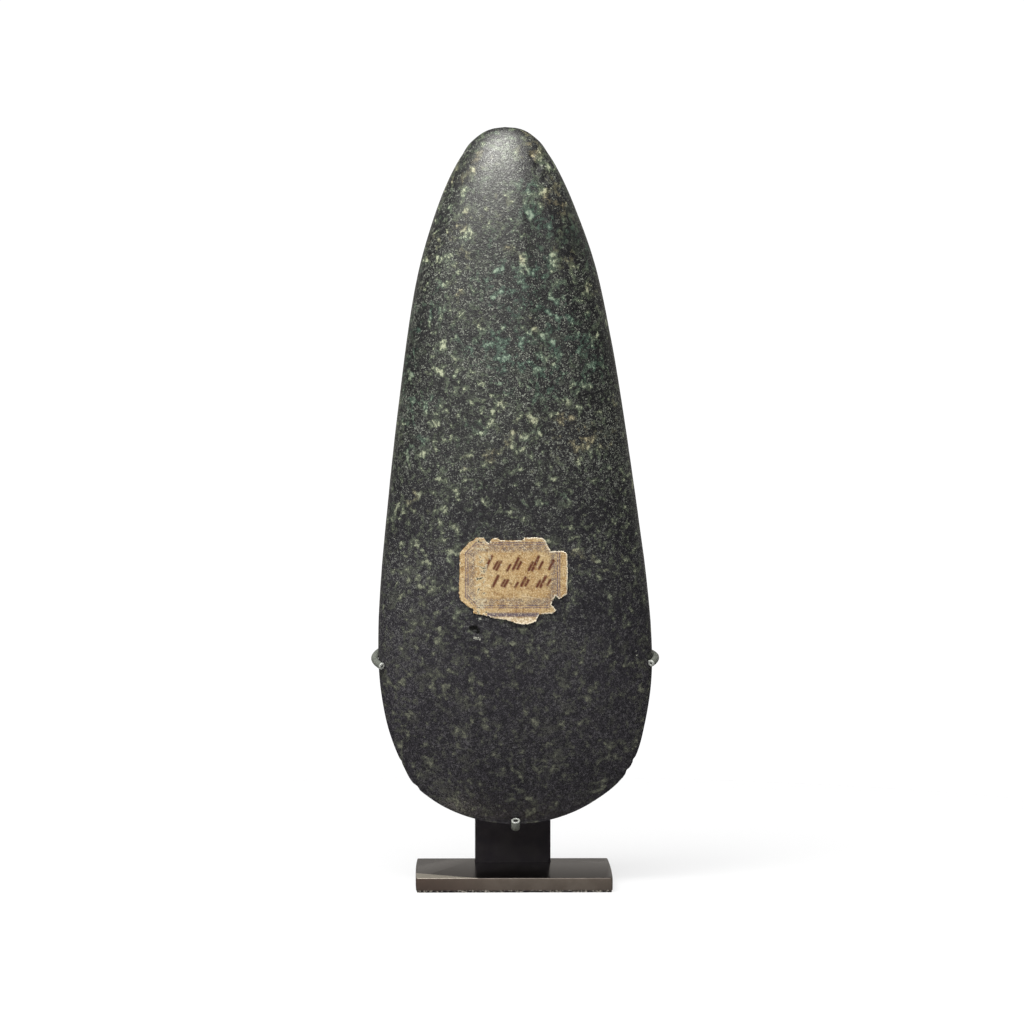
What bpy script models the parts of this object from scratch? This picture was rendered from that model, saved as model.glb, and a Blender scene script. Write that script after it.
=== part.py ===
"""A polished jadeite axe head held upright on its metal display stand.

Metres, +Z up, the labelled face towards -Y. The origin is the centre of the base
plate's underside.
"""

import math

import bmesh
import bpy
from mathutils import Matrix, Vector

# Axe head
STONE_LENGTH = 0.1817
STONE_WIDTH = 0.0718
STONE_THICKNESS = 0.032
STONE_EDGE_HEIGHT = 0.0161
STONE_SIDE_SHIFT = 0.0011
STONE_LEAN = math.radians(1.07)
STONE_SEGMENTS = 48
STONE_RINGS = 44

# The outline as a share of an ellipse's width, from the butt (0) to the cutting edge (1):
# share of length, left side, right side
OUTLINE_FULLNESS = [
    (0.000, 0.940, 0.930),
    (0.012, 0.862, 0.850),
    (0.040, 0.808, 0.796),
    (0.100, 0.790, 0.775),
    (0.200, 0.800, 0.795),
    (0.300, 0.807, 0.805),
    (0.400, 0.830, 0.831),
    (0.500, 0.880, 0.882),
    (0.600, 0.960, 0.962),
    (0.700, 1.075, 1.080),
    (0.800, 1.228, 1.237),
    (0.860, 1.337, 1.350),
    (0.910, 1.450, 1.490),
    (0.945, 1.565, 1.572),
    (0.975, 1.595, 1.572),
    (1.000, 1.530, 1.500),
]

# The half thickness in the same way, thick and round at the butt, a wedge at the edge
DEPTH_FULLNESS = [
    (0.00, 1.30),
    (0.05, 1.28),
    (0.12, 1.21),
    (0.20, 1.12),
    (0.30, 1.05),
    (0.40, 1.015),
    (0.50, 1.00),
    (0.60, 0.99),
    (0.70, 0.975),
    (0.80, 0.92),
    (0.88, 0.81),
    (0.94, 0.63),
    (0.98, 0.39),
    (1.00, 0.00),
]

# Power of the sine that gives a section its depth: 1 is an ellipse, 2 a lens with sharp sides
SECTION_POWER = [
    (0.00, 1.00),
    (0.55, 1.04),
    (0.75, 1.12),
    (0.88, 1.36),
    (0.95, 1.64),
    (1.00, 1.75),
]

# Paper label glued on the front face
LABEL_WIDTH = 0.028
LABEL_HEIGHT = 0.0224
LABEL_THICKNESS = 0.00025
LABEL_CENTRE_HEIGHT = 0.0808
LABEL_SIDE_SHIFT = -0.0003

# Torn outline, clockwise from the upper left, as shares of the label's width and height
LABEL_OUTLINE = [
    (-0.345, 0.498),
    (-0.270, 0.500),
    (-0.254, 0.459),
    (-0.222, 0.431),
    (-0.195, 0.489),
    (-0.151, 0.498),
    (-0.112, 0.470),
    (0.081, 0.468),
    (0.103, 0.500),
    (0.248, 0.500),
    (0.283, 0.481),
    (0.345, 0.342),
    (0.459, 0.344),
    (0.496, 0.307),
    (0.500, 0.086),
    (0.494, -0.153),
    (0.424, -0.212),
    (0.385, -0.175),
    (0.349, -0.270),
    (0.393, -0.339),
    (0.358, -0.379),
    (0.240, -0.386),
    (0.204, -0.468),
    (0.139, -0.500),
    (0.055, -0.498),
    (-0.059, -0.453),
    (-0.191, -0.425),
    (-0.274, -0.394),
    (-0.367, -0.375),
    (-0.368, -0.325),
    (-0.411, -0.305),
    (-0.488, -0.220),
    (-0.500, -0.136),
    (-0.493, 0.086),
    (-0.492, 0.320),
    (-0.402, 0.451),
    (-0.371, 0.456),
]

# Base plate
BASE_WIDTH = 0.0508
BASE_DEPTH = 0.038
BASE_THICKNESS = 0.0038
BASE_EDGE_ROUNDING = 0.0003

# Post, a flat bar that stands in a slot in the base plate
POST_WIDTH = 0.020
POST_THICKNESS = 0.005
POST_BACK_INSET = 0.003
POST_HEIGHT = 0.105
POST_EDGE_ROUNDING = 0.0003
POST_SLOT_DEPTH = 0.002
POST_SLOT_CLEARANCE = 0.0003

# Side arms, bent rods from the post round the edges of the stone
ARM_ROD_DIAMETER = 0.001
ARM_EDGE_HEIGHT = 0.0595
ARM_DROP = 0.0078
ARM_BACK_ANGLE = math.radians(122)
LEFT_ARM_TIP_ANGLE = math.radians(196)
RIGHT_ARM_TIP_ANGLE = math.radians(193)
ARM_SLEEVE_LENGTH = 0.0125
ARM_SLEEVE_WALL = 0.00032

# Bottom prong, a bent rod from the post under the cutting edge
PRONG_ROD_DIAMETER = 0.0015
PRONG_SIDE_SHIFT = 0.0005
PRONG_BEND_RADIUS = 0.0016
PRONG_UPRIGHT = 0.0022
PRONG_CONTACT_RISE = 0.0018
PRONG_SLEEVE_LENGTH = 0.0024
PRONG_SLEEVE_WALL = 0.00035

# Fits between pieces
TOUCH_GAP = 0.0003
SLEEVE_GAP = 0.0001
SLEEVE_CLEARANCE = 0.00008
SOCKET_DEPTH = 0.003
SOCKET_CLEARANCE = 0.00015
ROD_RECESS = 0.0003
ROD_SIDES_RESOLUTION = 4

BASE_TOP = BASE_THICKNESS
POST_BACK_Y = BASE_DEPTH / 2 - POST_BACK_INSET
POST_FRONT_Y = POST_BACK_Y - POST_THICKNESS
POST_MIDDLE_Y = (POST_BACK_Y + POST_FRONT_Y) / 2
POST_TOP = BASE_TOP + POST_HEIGHT
STONE_MIDDLE_Y = POST_FRONT_Y - TOUCH_GAP - STONE_THICKNESS / 2
ARM_SLEEVE_BORE = ARM_ROD_DIAMETER + 2 * SLEEVE_CLEARANCE
ARM_SLEEVE_DIAMETER = ARM_SLEEVE_BORE + 2 * ARM_SLEEVE_WALL
PRONG_SLEEVE_BORE = PRONG_ROD_DIAMETER + 2 * SLEEVE_CLEARANCE
PRONG_SLEEVE_DIAMETER = PRONG_SLEEVE_BORE + 2 * PRONG_SLEEVE_WALL


def clear_scene():
    """Removes every object, and leaves the open file as it is."""
    for obj in list(bpy.data.objects):
        bpy.data.objects.remove(obj, do_unlink=True)


def new_collection(name):
    """A new collection linked to the scene."""
    collection = bpy.data.collections.new(name)
    bpy.context.scene.collection.children.link(collection)
    return collection


def material(name, colour, roughness, metallic=0.0, transmission=0.0):
    """A Principled material with plain values."""
    made = bpy.data.materials.new(name)
    made.use_nodes = True
    shader = made.node_tree.nodes["Principled BSDF"]
    shader.inputs["Base Color"].default_value = (*colour, 1.0)
    shader.inputs["Roughness"].default_value = roughness
    shader.inputs["Metallic"].default_value = metallic
    shader.inputs["Transmission Weight"].default_value = transmission
    made.diffuse_color = (*colour, 1.0)
    return made


def smooth_value(stations, share, column=1):
    """Reads a table of stations at a share of the length with a smooth cubic between them."""
    last = len(stations) - 1
    share = min(max(share, stations[0][0]), stations[last][0])
    index = next(i for i in range(last) if share <= stations[i + 1][0])

    def slope(i):
        before, after = max(i - 1, 0), min(i + 1, last)
        run = stations[after][0] - stations[before][0]
        return (stations[after][column] - stations[before][column]) / run

    start, end = stations[index], stations[index + 1]
    width = end[0] - start[0]
    u = (share - start[0]) / width
    return (
        start[column] * (1 + 2 * u) * (1 - u) ** 2
        + slope(index) * width * u * (1 - u) ** 2
        + end[column] * u * u * (3 - 2 * u)
        + slope(index + 1) * width * u * u * (u - 1)
    )


def stone_local(share, angle):
    """A point of the stone's surface in its own frame: the lowest point of the cutting edge is
    the origin and its axis is vertical. Angle 0 is the right edge and 90 degrees the back."""
    ring = 2 * math.sqrt(max(share * (1 - share), 0.0))
    column = 2 if math.cos(angle) >= 0 else 1
    half_width = STONE_WIDTH / 2 * smooth_value(OUTLINE_FULLNESS, share, column)
    half_depth = STONE_THICKNESS / 2 * smooth_value(DEPTH_FULLNESS, share)
    sine = math.sin(angle)
    depth = math.copysign(abs(sine) ** smooth_value(SECTION_POWER, share), sine)
    return Vector(
        (
            half_width * ring * math.cos(angle),
            half_depth * ring * depth,
            STONE_LENGTH * (1 - share),
        )
    )


def stone_place():
    """The matrix from the stone's own frame to the part's frame."""
    move = Matrix.Translation((STONE_SIDE_SHIFT, STONE_MIDDLE_Y, STONE_EDGE_HEIGHT))
    return move @ Matrix.Rotation(-STONE_LEAN, 4, "Y")


def beside_stone(share, angle, distance):
    """A point at a distance straight out from the stone's surface, in the part's frame."""
    step = 1e-4
    along = stone_local(share + step, angle) - stone_local(share - step, angle)
    around = stone_local(share, angle + step) - stone_local(share, angle - step)
    outward = along.cross(around).normalized()
    if outward.dot(Vector((math.cos(angle), math.sin(angle), 0))) < 0:
        outward.negate()
    return stone_place() @ (stone_local(share, angle) + outward * distance)


def mesh_object(name, mesh, collection, finish):
    """An object for a mesh, with its material, in a collection."""
    obj = bpy.data.objects.new(name, mesh)
    collection.objects.link(obj)
    if finish:
        mesh.materials.append(finish)
    return obj


def mark_cutter(obj):
    """Shows a cutter as wire and keeps it out of renders."""
    obj.hide_render = True
    obj.display_type = "WIRE"
    return obj


def stone_mesh(name):
    """A sphere whose rings are set to the sections of the stone."""
    shape = bmesh.new()
    bmesh.ops.create_uvsphere(
        shape, u_segments=STONE_SEGMENTS, v_segments=STONE_RINGS, radius=1.0
    )
    for vertex in shape.verts:
        share = (1 - vertex.co.z) / 2
        angle = math.atan2(vertex.co.y, vertex.co.x)
        vertex.co = stone_local(share, angle)
    mesh = bpy.data.meshes.new(name)
    shape.to_mesh(mesh)
    shape.free()
    mesh.shade_smooth()
    return mesh


def make_axe_head(parts, finish):
    """The polished stone, leaning a little to the left on the stand."""
    stone = mesh_object("axe_head", stone_mesh("axe_head"), parts, finish)
    stone.matrix_world = stone_place()
    return stone


def flat_outline(name, points, half_depth):
    """A closed flat outline, filled and extruded along its own Z, as a mesh."""
    curve = bpy.data.curves.new(name, "CURVE")
    curve.dimensions = "2D"
    curve.fill_mode = "BOTH"
    curve.extrude = half_depth
    spline = curve.splines.new("POLY")
    spline.points.add(len(points) - 1)
    for point, (x, y) in zip(spline.points, points):
        point.co = (x, y, 0, 1)
    spline.use_cyclic_u = True
    return curve_to_mesh(name, curve)


def curve_to_mesh(name, curve):
    """The evaluated mesh of a curve, with its loose caps welded on."""
    holder = bpy.data.objects.new(name, curve)
    bpy.context.scene.collection.objects.link(holder)
    graph = bpy.context.evaluated_depsgraph_get()
    mesh = bpy.data.meshes.new_from_object(holder.evaluated_get(graph))
    bpy.data.objects.remove(holder)
    bpy.data.curves.remove(curve)
    shape = bmesh.new()
    shape.from_mesh(mesh)
    bmesh.ops.remove_doubles(shape, verts=shape.verts, dist=1e-6)
    bmesh.ops.recalc_face_normals(shape, faces=shape.faces)
    shape.to_mesh(mesh)
    shape.free()
    mesh.name = name
    return mesh


def make_paper_label(parts, cutters, finish):
    """A skin of paper that follows the stone's front face inside a torn outline."""
    outline = [(LABEL_WIDTH * u, LABEL_HEIGHT * v) for u, v in LABEL_OUTLINE]
    prism = mesh_object(
        "label_outline",
        flat_outline("label_outline", outline, STONE_THICKNESS / 2),
        cutters,
        None,
    )
    prism.rotation_euler = (math.pi / 2, 0, 0)
    prism.location = (
        LABEL_SIDE_SHIFT,
        STONE_MIDDLE_Y - STONE_THICKNESS * 0.6,
        LABEL_CENTRE_HEIGHT,
    )
    mark_cutter(prism)

    label = mesh_object("paper_label", stone_mesh("paper_label"), parts, finish)
    label.matrix_world = stone_place()
    lift = label.modifiers.new("gap_to_stone", "DISPLACE")
    lift.direction = "NORMAL"
    lift.mid_level = 0
    lift.strength = TOUCH_GAP
    skin = label.modifiers.new("paper_thickness", "SOLIDIFY")
    skin.thickness = LABEL_THICKNESS
    skin.offset = 1
    tear = label.modifiers.new("torn_outline", "BOOLEAN")
    tear.operation = "INTERSECT"
    tear.object = prism
    return label


def box_mesh(name, size):
    """A box of a given size, centred on its own origin."""
    shape = bmesh.new()
    bmesh.ops.create_cube(shape, size=1.0)
    bmesh.ops.scale(shape, vec=size, verts=shape.verts)
    mesh = bpy.data.meshes.new(name)
    shape.to_mesh(mesh)
    shape.free()
    return mesh


def soften_edges(obj, width):
    """Rounds the edges of a box."""
    bevel = obj.modifiers.new("edge_rounding", "BEVEL")
    bevel.width = width
    bevel.segments = 2
    bevel.limit_method = "ANGLE"


def cut(obj, cutter):
    """Cuts one object out of another."""
    hole = obj.modifiers.new("cut_" + cutter.name, "BOOLEAN")
    hole.operation = "DIFFERENCE"
    hole.object = cutter


def make_base_plate(parts, cutters, finish):
    """A flat rectangular plate with a slot for the post."""
    plate = mesh_object(
        "base_plate",
        box_mesh("base_plate", (BASE_WIDTH, BASE_DEPTH, BASE_THICKNESS)),
        parts,
        finish,
    )
    plate.location = (0, 0, BASE_THICKNESS / 2)
    soften_edges(plate, BASE_EDGE_ROUNDING)

    slot_size = (
        POST_WIDTH + 2 * POST_SLOT_CLEARANCE,
        POST_THICKNESS + 2 * POST_SLOT_CLEARANCE,
        2 * (POST_SLOT_DEPTH + TOUCH_GAP),
    )
    slot = mesh_object("post_slot", box_mesh("post_slot", slot_size), cutters, None)
    slot.location = (0, POST_MIDDLE_Y, BASE_TOP)
    cut(plate, mark_cutter(slot))
    return plate


def socket(name, cutters, diameter, mouth, direction):
    """A cutter for a round hole that a rod's end sits in. Its mouth is on the post's face."""
    shape = bmesh.new()
    bmesh.ops.create_cone(
        shape,
        cap_ends=True,
        segments=16,
        radius1=diameter / 2 + SOCKET_CLEARANCE,
        radius2=diameter / 2 + SOCKET_CLEARANCE,
        depth=2 * (SOCKET_DEPTH + TOUCH_GAP),
    )
    mesh = bpy.data.meshes.new(name)
    shape.to_mesh(mesh)
    shape.free()
    hole = mesh_object(name, mesh, cutters, None)
    hole.rotation_mode = "QUATERNION"
    hole.rotation_quaternion = Vector(direction).to_track_quat("Z", "Y")
    hole.location = mouth
    return mark_cutter(hole)


def make_post(parts, cutters, finish):
    """The flat bar behind the stone, with a socket for each rod."""
    height = POST_HEIGHT + POST_SLOT_DEPTH
    size = (POST_WIDTH, POST_THICKNESS, height)
    post = mesh_object("post", box_mesh("post", size), parts, finish)
    post.location = (0, POST_MIDDLE_Y, POST_TOP - height / 2)
    soften_edges(post, POST_EDGE_ROUNDING)
    for side in ("left", "right"):
        mouth = arm_socket_mouth(side)
        direction = (side_sign(side), 0, 0)
        name = side + "_arm_socket"
        cut(post, socket(name, cutters, ARM_ROD_DIAMETER, mouth, direction))
    mouth = (PRONG_SIDE_SHIFT, POST_FRONT_Y, prong_height())
    name = "bottom_prong_socket"
    cut(post, socket(name, cutters, PRONG_ROD_DIAMETER, mouth, (0, -1, 0)))
    return post


def side_sign(side):
    """-1 on the left and 1 on the right, as seen from the front."""
    return -1 if side == "left" else 1


def side_angle(side, angle):
    """The same place round the section on the left or the right edge."""
    return angle if side == "left" else math.pi - angle


def tip_angle(side):
    """How far round the stone an arm reaches: the left edge is at 180 degrees."""
    return LEFT_ARM_TIP_ANGLE if side == "left" else RIGHT_ARM_TIP_ANGLE


def share_at_height(height):
    """How far down the stone a height above the floor is, from 0 at the butt to 1."""
    return 1 - (height - STONE_EDGE_HEIGHT) / STONE_LENGTH


def arm_height_at(angle):
    """An arm's height, which falls evenly from the post to the tip."""
    fall = (angle - math.pi) / (LEFT_ARM_TIP_ANGLE - ARM_BACK_ANGLE)
    return ARM_EDGE_HEIGHT - ARM_DROP * fall


def arm_socket_mouth(side):
    """Where an arm leaves the post's side face."""
    height = arm_height_at(ARM_BACK_ANGLE)
    return Vector((side_sign(side) * POST_WIDTH / 2, POST_MIDDLE_Y, height))


def spread(first, last, count):
    """Evenly spaced values from first to last."""
    return [first + (last - first) * i / (count - 1) for i in range(count)]


def blend_curve(start, start_pull, end_pull, end, count):
    """Points of a cubic Bezier curve, without its last one."""
    points = []
    for i in range(count):
        t = i / count
        points.append(
            start * (1 - t) ** 3
            + start_pull * 3 * t * (1 - t) ** 2
            + end_pull * 3 * t * t * (1 - t)
            + end * t**3
        )
    return points


def arm_hook(side):
    """Points of an arm beside the stone, from behind it to the tip in front."""
    stand_off = SLEEVE_GAP + ARM_SLEEVE_DIAMETER / 2
    return [
        beside_stone(
            share_at_height(arm_height_at(angle)), side_angle(side, angle), stand_off
        )
        for angle in spread(ARM_BACK_ANGLE, tip_angle(side), 15)
    ]


def arm_lead(side):
    """Points of an arm from the bottom of its socket to where it meets the stone."""
    mouth = arm_socket_mouth(side)
    outward = Vector((side_sign(side), 0, 0))
    meeting, beyond = arm_hook(side)[:2]
    along = (beyond - meeting).normalized()
    reach = (meeting - mouth).length / 3
    bend = blend_curve(
        mouth, mouth + outward * reach, meeting - along * reach, meeting, 8
    )
    return [mouth - outward * SOCKET_DEPTH] + bend


def rod(name, points, diameter, parts, finish):
    """A round rod with flat ends along a row of points."""
    mesh = curve_to_mesh(name, wire(name, points, diameter, capped=True))
    mesh.shade_smooth()
    return mesh_object(name, mesh, parts, finish)


def wire(name, points, diameter, capped):
    """A curve with a round bevel through a row of points."""
    curve = bpy.data.curves.new(name, "CURVE")
    curve.dimensions = "3D"
    curve.bevel_depth = diameter / 2
    curve.bevel_resolution = ROD_SIDES_RESOLUTION
    curve.use_fill_caps = capped
    spline = curve.splines.new("POLY")
    spline.points.add(len(points) - 1)
    for point, place in zip(spline.points, points):
        point.co = (*place, 1)
    return curve


def sleeve(name, points, bore, diameter, parts, finish):
    """A length of tubing round a rod: an open tube with a wall."""
    mesh = curve_to_mesh(name, wire(name, points, bore, capped=False))
    mesh.shade_smooth()
    tube = mesh_object(name, mesh, parts, finish)
    wall = tube.modifiers.new("wall", "SOLIDIFY")
    wall.thickness = (diameter - bore) / 2
    wall.offset = 1
    wall.use_even_offset = True
    return tube


def shortened(points, amount):
    """The same row of points, with its last point drawn back."""
    last = points[-1] + (points[-2] - points[-1]).normalized() * amount
    return points[:-1] + [last]


def last_stretch(points, length):
    """The end of a row of points, cut to a length."""
    kept = [points[-1]]
    for before in reversed(points[:-1]):
        step = (kept[-1] - before).length
        if step >= length:
            kept.append(kept[-1].lerp(before, length / step))
            break
        kept.append(before)
        length -= step
    kept.reverse()
    return kept


def make_arm(side, parts, metal, clear):
    """One side arm and the tubing over its hooked end."""
    route = arm_lead(side) + arm_hook(side)
    rod(side + "_arm", shortened(route, ROD_RECESS), ARM_ROD_DIAMETER, parts, metal)
    covered = last_stretch(route, ARM_SLEEVE_LENGTH)
    sleeve(
        side + "_sleeve", covered, ARM_SLEEVE_BORE, ARM_SLEEVE_DIAMETER, parts, clear
    )


def prong_height():
    """The height of the bottom prong's straight run, just under the cutting edge."""
    return STONE_EDGE_HEIGHT - TOUCH_GAP - PRONG_ROD_DIAMETER / 2


def beside_front(height):
    """A place that stands off the stone's front face, over the prong, at about a height."""
    stand_off = TOUCH_GAP + PRONG_SLEEVE_DIAMETER / 2
    place = beside_stone(share_at_height(height), -math.pi / 2, stand_off)
    place.x = PRONG_SIDE_SHIFT
    return place


def prong_route():
    """Points of the bottom prong, from its socket forwards, under the cutting edge and up
    along the front face."""
    height = prong_height()
    contact = STONE_EDGE_HEIGHT + PRONG_CONTACT_RISE
    place = beside_front(contact)
    upward = (beside_front(contact + PRONG_CONTACT_RISE) - place).normalized()
    corner = place - upward * ((place.z - height) / upward.z)
    turn = math.atan2(upward.z, -upward.y)
    setback = PRONG_BEND_RADIUS * math.tan(turn / 2)
    points = [Vector((PRONG_SIDE_SHIFT, POST_FRONT_Y + SOCKET_DEPTH, height))]
    for angle in spread(0, turn, 8):
        forward = PRONG_BEND_RADIUS * math.sin(angle) - setback
        rise = PRONG_BEND_RADIUS * (1 - math.cos(angle))
        points.append(corner + Vector((0, -forward, rise)))
    return points + [corner + upward * PRONG_UPRIGHT]


def make_bottom_prong(parts, metal, clear):
    """The bottom prong and the tubing over its upturned end."""
    route = prong_route()
    rod(
        "bottom_prong", shortened(route, ROD_RECESS), PRONG_ROD_DIAMETER, parts, metal
    )
    covered = last_stretch(route, PRONG_SLEEVE_LENGTH)
    sleeve(
        "bottom_sleeve",
        covered,
        PRONG_SLEEVE_BORE,
        PRONG_SLEEVE_DIAMETER,
        parts,
        clear,
    )


def main():
    clear_scene()
    parts = new_collection("jadeite_axe_head")
    cutters = new_collection("cutters")
    jadeite = material("jadeite", (0.045, 0.052, 0.045), 0.42)
    paper = material("paper", (0.50, 0.36, 0.20), 0.85)
    bronze = material("patinated_bronze", (0.11, 0.10, 0.085), 0.36, metallic=1.0)
    blackened = material("blackened_bronze", (0.035, 0.03, 0.032), 0.45, metallic=1.0)
    clear = material("clear_tubing", (0.55, 0.57, 0.50), 0.25, transmission=0.7)

    make_axe_head(parts, jadeite)
    make_paper_label(parts, cutters, paper)
    make_base_plate(parts, cutters, bronze)
    make_post(parts, cutters, blackened)
    for side in ("left", "right"):
        make_arm(side, parts, blackened, clear)
    make_bottom_prong(parts, blackened, clear)


main()
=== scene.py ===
"""The looks of a polished jadeite axe head on its metal display stand.

Metres, +Z up, the labelled face towards -Y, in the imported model's frame.
"""

import math

import bmesh
import bpy
import numpy as np
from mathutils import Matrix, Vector, noise
from mathutils.geometry import delaunay_2d_cdt


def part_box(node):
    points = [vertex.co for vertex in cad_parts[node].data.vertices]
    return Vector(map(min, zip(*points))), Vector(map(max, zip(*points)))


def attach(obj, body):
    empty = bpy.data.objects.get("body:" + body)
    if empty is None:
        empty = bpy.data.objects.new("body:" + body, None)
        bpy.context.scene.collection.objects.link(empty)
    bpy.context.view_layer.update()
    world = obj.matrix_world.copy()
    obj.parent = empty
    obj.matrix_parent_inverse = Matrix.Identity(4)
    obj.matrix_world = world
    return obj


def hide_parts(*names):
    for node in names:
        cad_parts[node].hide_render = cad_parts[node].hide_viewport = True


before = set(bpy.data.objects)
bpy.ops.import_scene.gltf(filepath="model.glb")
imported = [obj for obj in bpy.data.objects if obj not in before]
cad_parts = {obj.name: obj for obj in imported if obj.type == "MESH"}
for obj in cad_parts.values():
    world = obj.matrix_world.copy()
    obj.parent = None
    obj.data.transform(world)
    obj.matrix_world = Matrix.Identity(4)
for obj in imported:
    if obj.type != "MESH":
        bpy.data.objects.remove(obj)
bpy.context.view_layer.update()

MM = 0.001

# Axe head, with the named sizes of the frame's stone
STONE_LENGTH = 0.1817
STONE_WIDTH = 0.0718
STONE_THICKNESS = 0.032
STONE_EDGE_HEIGHT = 0.0161
STONE_SIDE_SHIFT = 0.0011
STONE_LEAN = math.radians(1.07)
LEAN_COS, LEAN_SIN = math.cos(STONE_LEAN), math.sin(STONE_LEAN)
STONE_MIDDLE_Y = (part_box("axe_head")[0].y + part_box("axe_head")[1].y) / 2

# The outline as a share of an ellipse's width, from the butt (0) to the cutting edge (1):
# share of length, left side, right side
OUTLINE_FULLNESS = [
    (0.000, 1.000, 1.030),
    (0.012, 0.900, 0.893),
    (0.024, 0.864, 0.850),
    (0.040, 0.814, 0.799),
    (0.100, 0.790, 0.775),
    (0.200, 0.800, 0.795),
    (0.300, 0.807, 0.805),
    (0.400, 0.830, 0.831),
    (0.500, 0.880, 0.882),
    (0.600, 0.960, 0.962),
    (0.700, 1.075, 1.080),
    (0.800, 1.228, 1.237),
    (0.860, 1.337, 1.350),
    (0.910, 1.459, 1.496),
    (0.945, 1.601, 1.598),
    (0.975, 1.657, 1.622),
    (1.000, 1.700, 1.660),
]

# The half thickness in the same way, thick and round at the butt, a wedge at the edge
DEPTH_FULLNESS = [
    (0.00, 1.30),
    (0.05, 1.28),
    (0.12, 1.21),
    (0.20, 1.12),
    (0.30, 1.05),
    (0.40, 1.015),
    (0.50, 1.00),
    (0.60, 0.99),
    (0.70, 0.975),
    (0.80, 0.92),
    (0.88, 0.81),
    (0.94, 0.63),
    (0.98, 0.39),
    (1.00, 0.00),
]

# Power of the sine that gives a section its depth: 1 is an ellipse, 2 a lens with sharp sides
SECTION_POWER = [
    (0.00, 1.00),
    (0.55, 1.04),
    (0.75, 1.12),
    (0.88, 1.36),
    (0.95, 1.64),
    (1.00, 1.75),
]

# Stone mesh: rings from butt to edge, and columns on the front and on the back
STONE_RINGS = 350
STONE_FRONT_COLUMNS = 200
STONE_BACK_COLUMNS = 78
RING_POLE_BLEND = 0.45
STONE_SHARP_ANGLE = math.radians(60)

# Hand-ground surface: size of the undulation and its depth
GRIND_WAVES = [(24 * MM, 0.10 * MM), (9 * MM, 0.035 * MM), (3.2 * MM, 0.016 * MM)]
SURFACE_INSET = 0.08 * MM

# Hollows in the front face, in millimetres: x, z, half width, half height, depth
FRONT_PITS = [
    (-10.4, 68.3, 0.85, 0.55, 0.55),
    (-9.3, 66.6, 1.10, 0.45, 0.25),
    (1.2, 67.6, 0.32, 1.10, 0.35),
    (4.2, 130.6, 0.70, 0.45, 0.25),
    (-13.4, 60.0, 0.60, 0.50, 0.20),
    (-18.0, 57.1, 0.50, 0.40, 0.18),
    (31.4, 60.9, 0.70, 1.20, 0.22),
    (31.7, 54.3, 0.60, 0.90, 0.22),
    (6.3, 187.2, 1.00, 1.60, 0.30),
    (8.1, 184.4, 0.80, 1.30, 0.26),
    (4.9, 190.2, 0.90, 0.90, 0.20),
    (9.2, 180.6, 0.60, 1.10, 0.16),
]

# Nicks out of the side and cutting edges, in millimetres: x, z, radius, depth
EDGE_NICKS = [
    (29.9, 29.9, 1.1, 0.35),
    (31.4, 33.0, 0.9, 0.22),
    (28.4, 27.2, 0.8, 0.25),
    (-25.5, 25.8, 1.4, 0.30),
    (-29.6, 32.5, 0.9, 0.18),
    (-16.5, 18.7, 1.0, 0.20),
    (13.2, 17.5, 0.9, 0.20),
    (21.0, 21.0, 1.0, 0.18),
]
NICK_AIM_HEIGHT = 60 * MM

# Ragged rims of the hollows and nicks
ROUGH_SIZE = 0.9 * MM
PIT_ROUGHNESS = 0.5
PIT_REACH = 1.5
NICK_ROUGHNESS = 0.4

# How much of the thin blade the relief may take away, and how fast that grows above it
BLADE_RELIEF_SHARE = 0.45
BLADE_RELIEF_RISE = 0.05
BLADE_HEIGHT = 5 * MM
BLADE_WEAR = 0.10 * MM
BLADE_WEAR_SIZE = 2.1 * MM
BLADE_WEAR_HEIGHT = 9 * MM

# Long shallow facets left by the grinding, on the front: the share of the half width from
# the middle, half of the facet's own share, its foot and top, depth
FRONT_FACETS = [
    (0.40, 0.19, 112 * MM, 186 * MM, 0.34 * MM),
]
FACET_FADE = 16 * MM

# Small flats where the butt was pecked and ground off: a point on each, its outward side
BUTT_FLATS = [
    ((-6.0 * MM, -8.5 * MM, 196.2 * MM), (-0.34, -0.42, 0.84)),
    ((-2.0 * MM, -6.5 * MM, 197.62 * MM), (-0.03, -0.16, 0.98)),
]
FLAT_SOFTNESS = 0.12 * MM

# Zones of the stone's colour on the front, each as x, z, half width and half height in
# millimetres, and strength. First, where the flecks are teal
TEAL_ZONES = [
    (12.0, 172.0, 8.0, 9.0, 0.5),
    (4.0, 158.0, 13.0, 17.0, 1.0),
    (11.0, 137.0, 10.0, 12.0, 0.9),
    (-26.0, 140.0, 5.0, 30.0, 0.9),
    (-6.0, 137.0, 9.0, 12.0, 0.6),
    (2.0, 182.0, 4.0, 6.0, 0.3),
    (-9.0, 70.0, 8.0, 5.0, 0.6),
]

# Where the flecks are tan
WARM_ZONES = [
    (-14.0, 163.0, 5.0, 11.0, 0.8),
    (21.0, 119.0, 8.0, 6.0, 1.0),
    (9.0, 116.0, 9.0, 6.0, 0.8),
    (-8.0, 114.0, 6.0, 5.0, 0.7),
    (4.0, 190.0, 3.0, 4.0, 0.8),
    (24.0, 86.0, 8.0, 7.0, 0.5),
    (-12.0, 186.0, 4.0, 7.0, 0.8),
    (4.5, 195.0, 4.0, 3.0, 0.9),
    (11.0, 178.0, 4.0, 9.0, 0.8),
    (-1.0, 176.0, 6.0, 6.0, 0.5),
]

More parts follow.
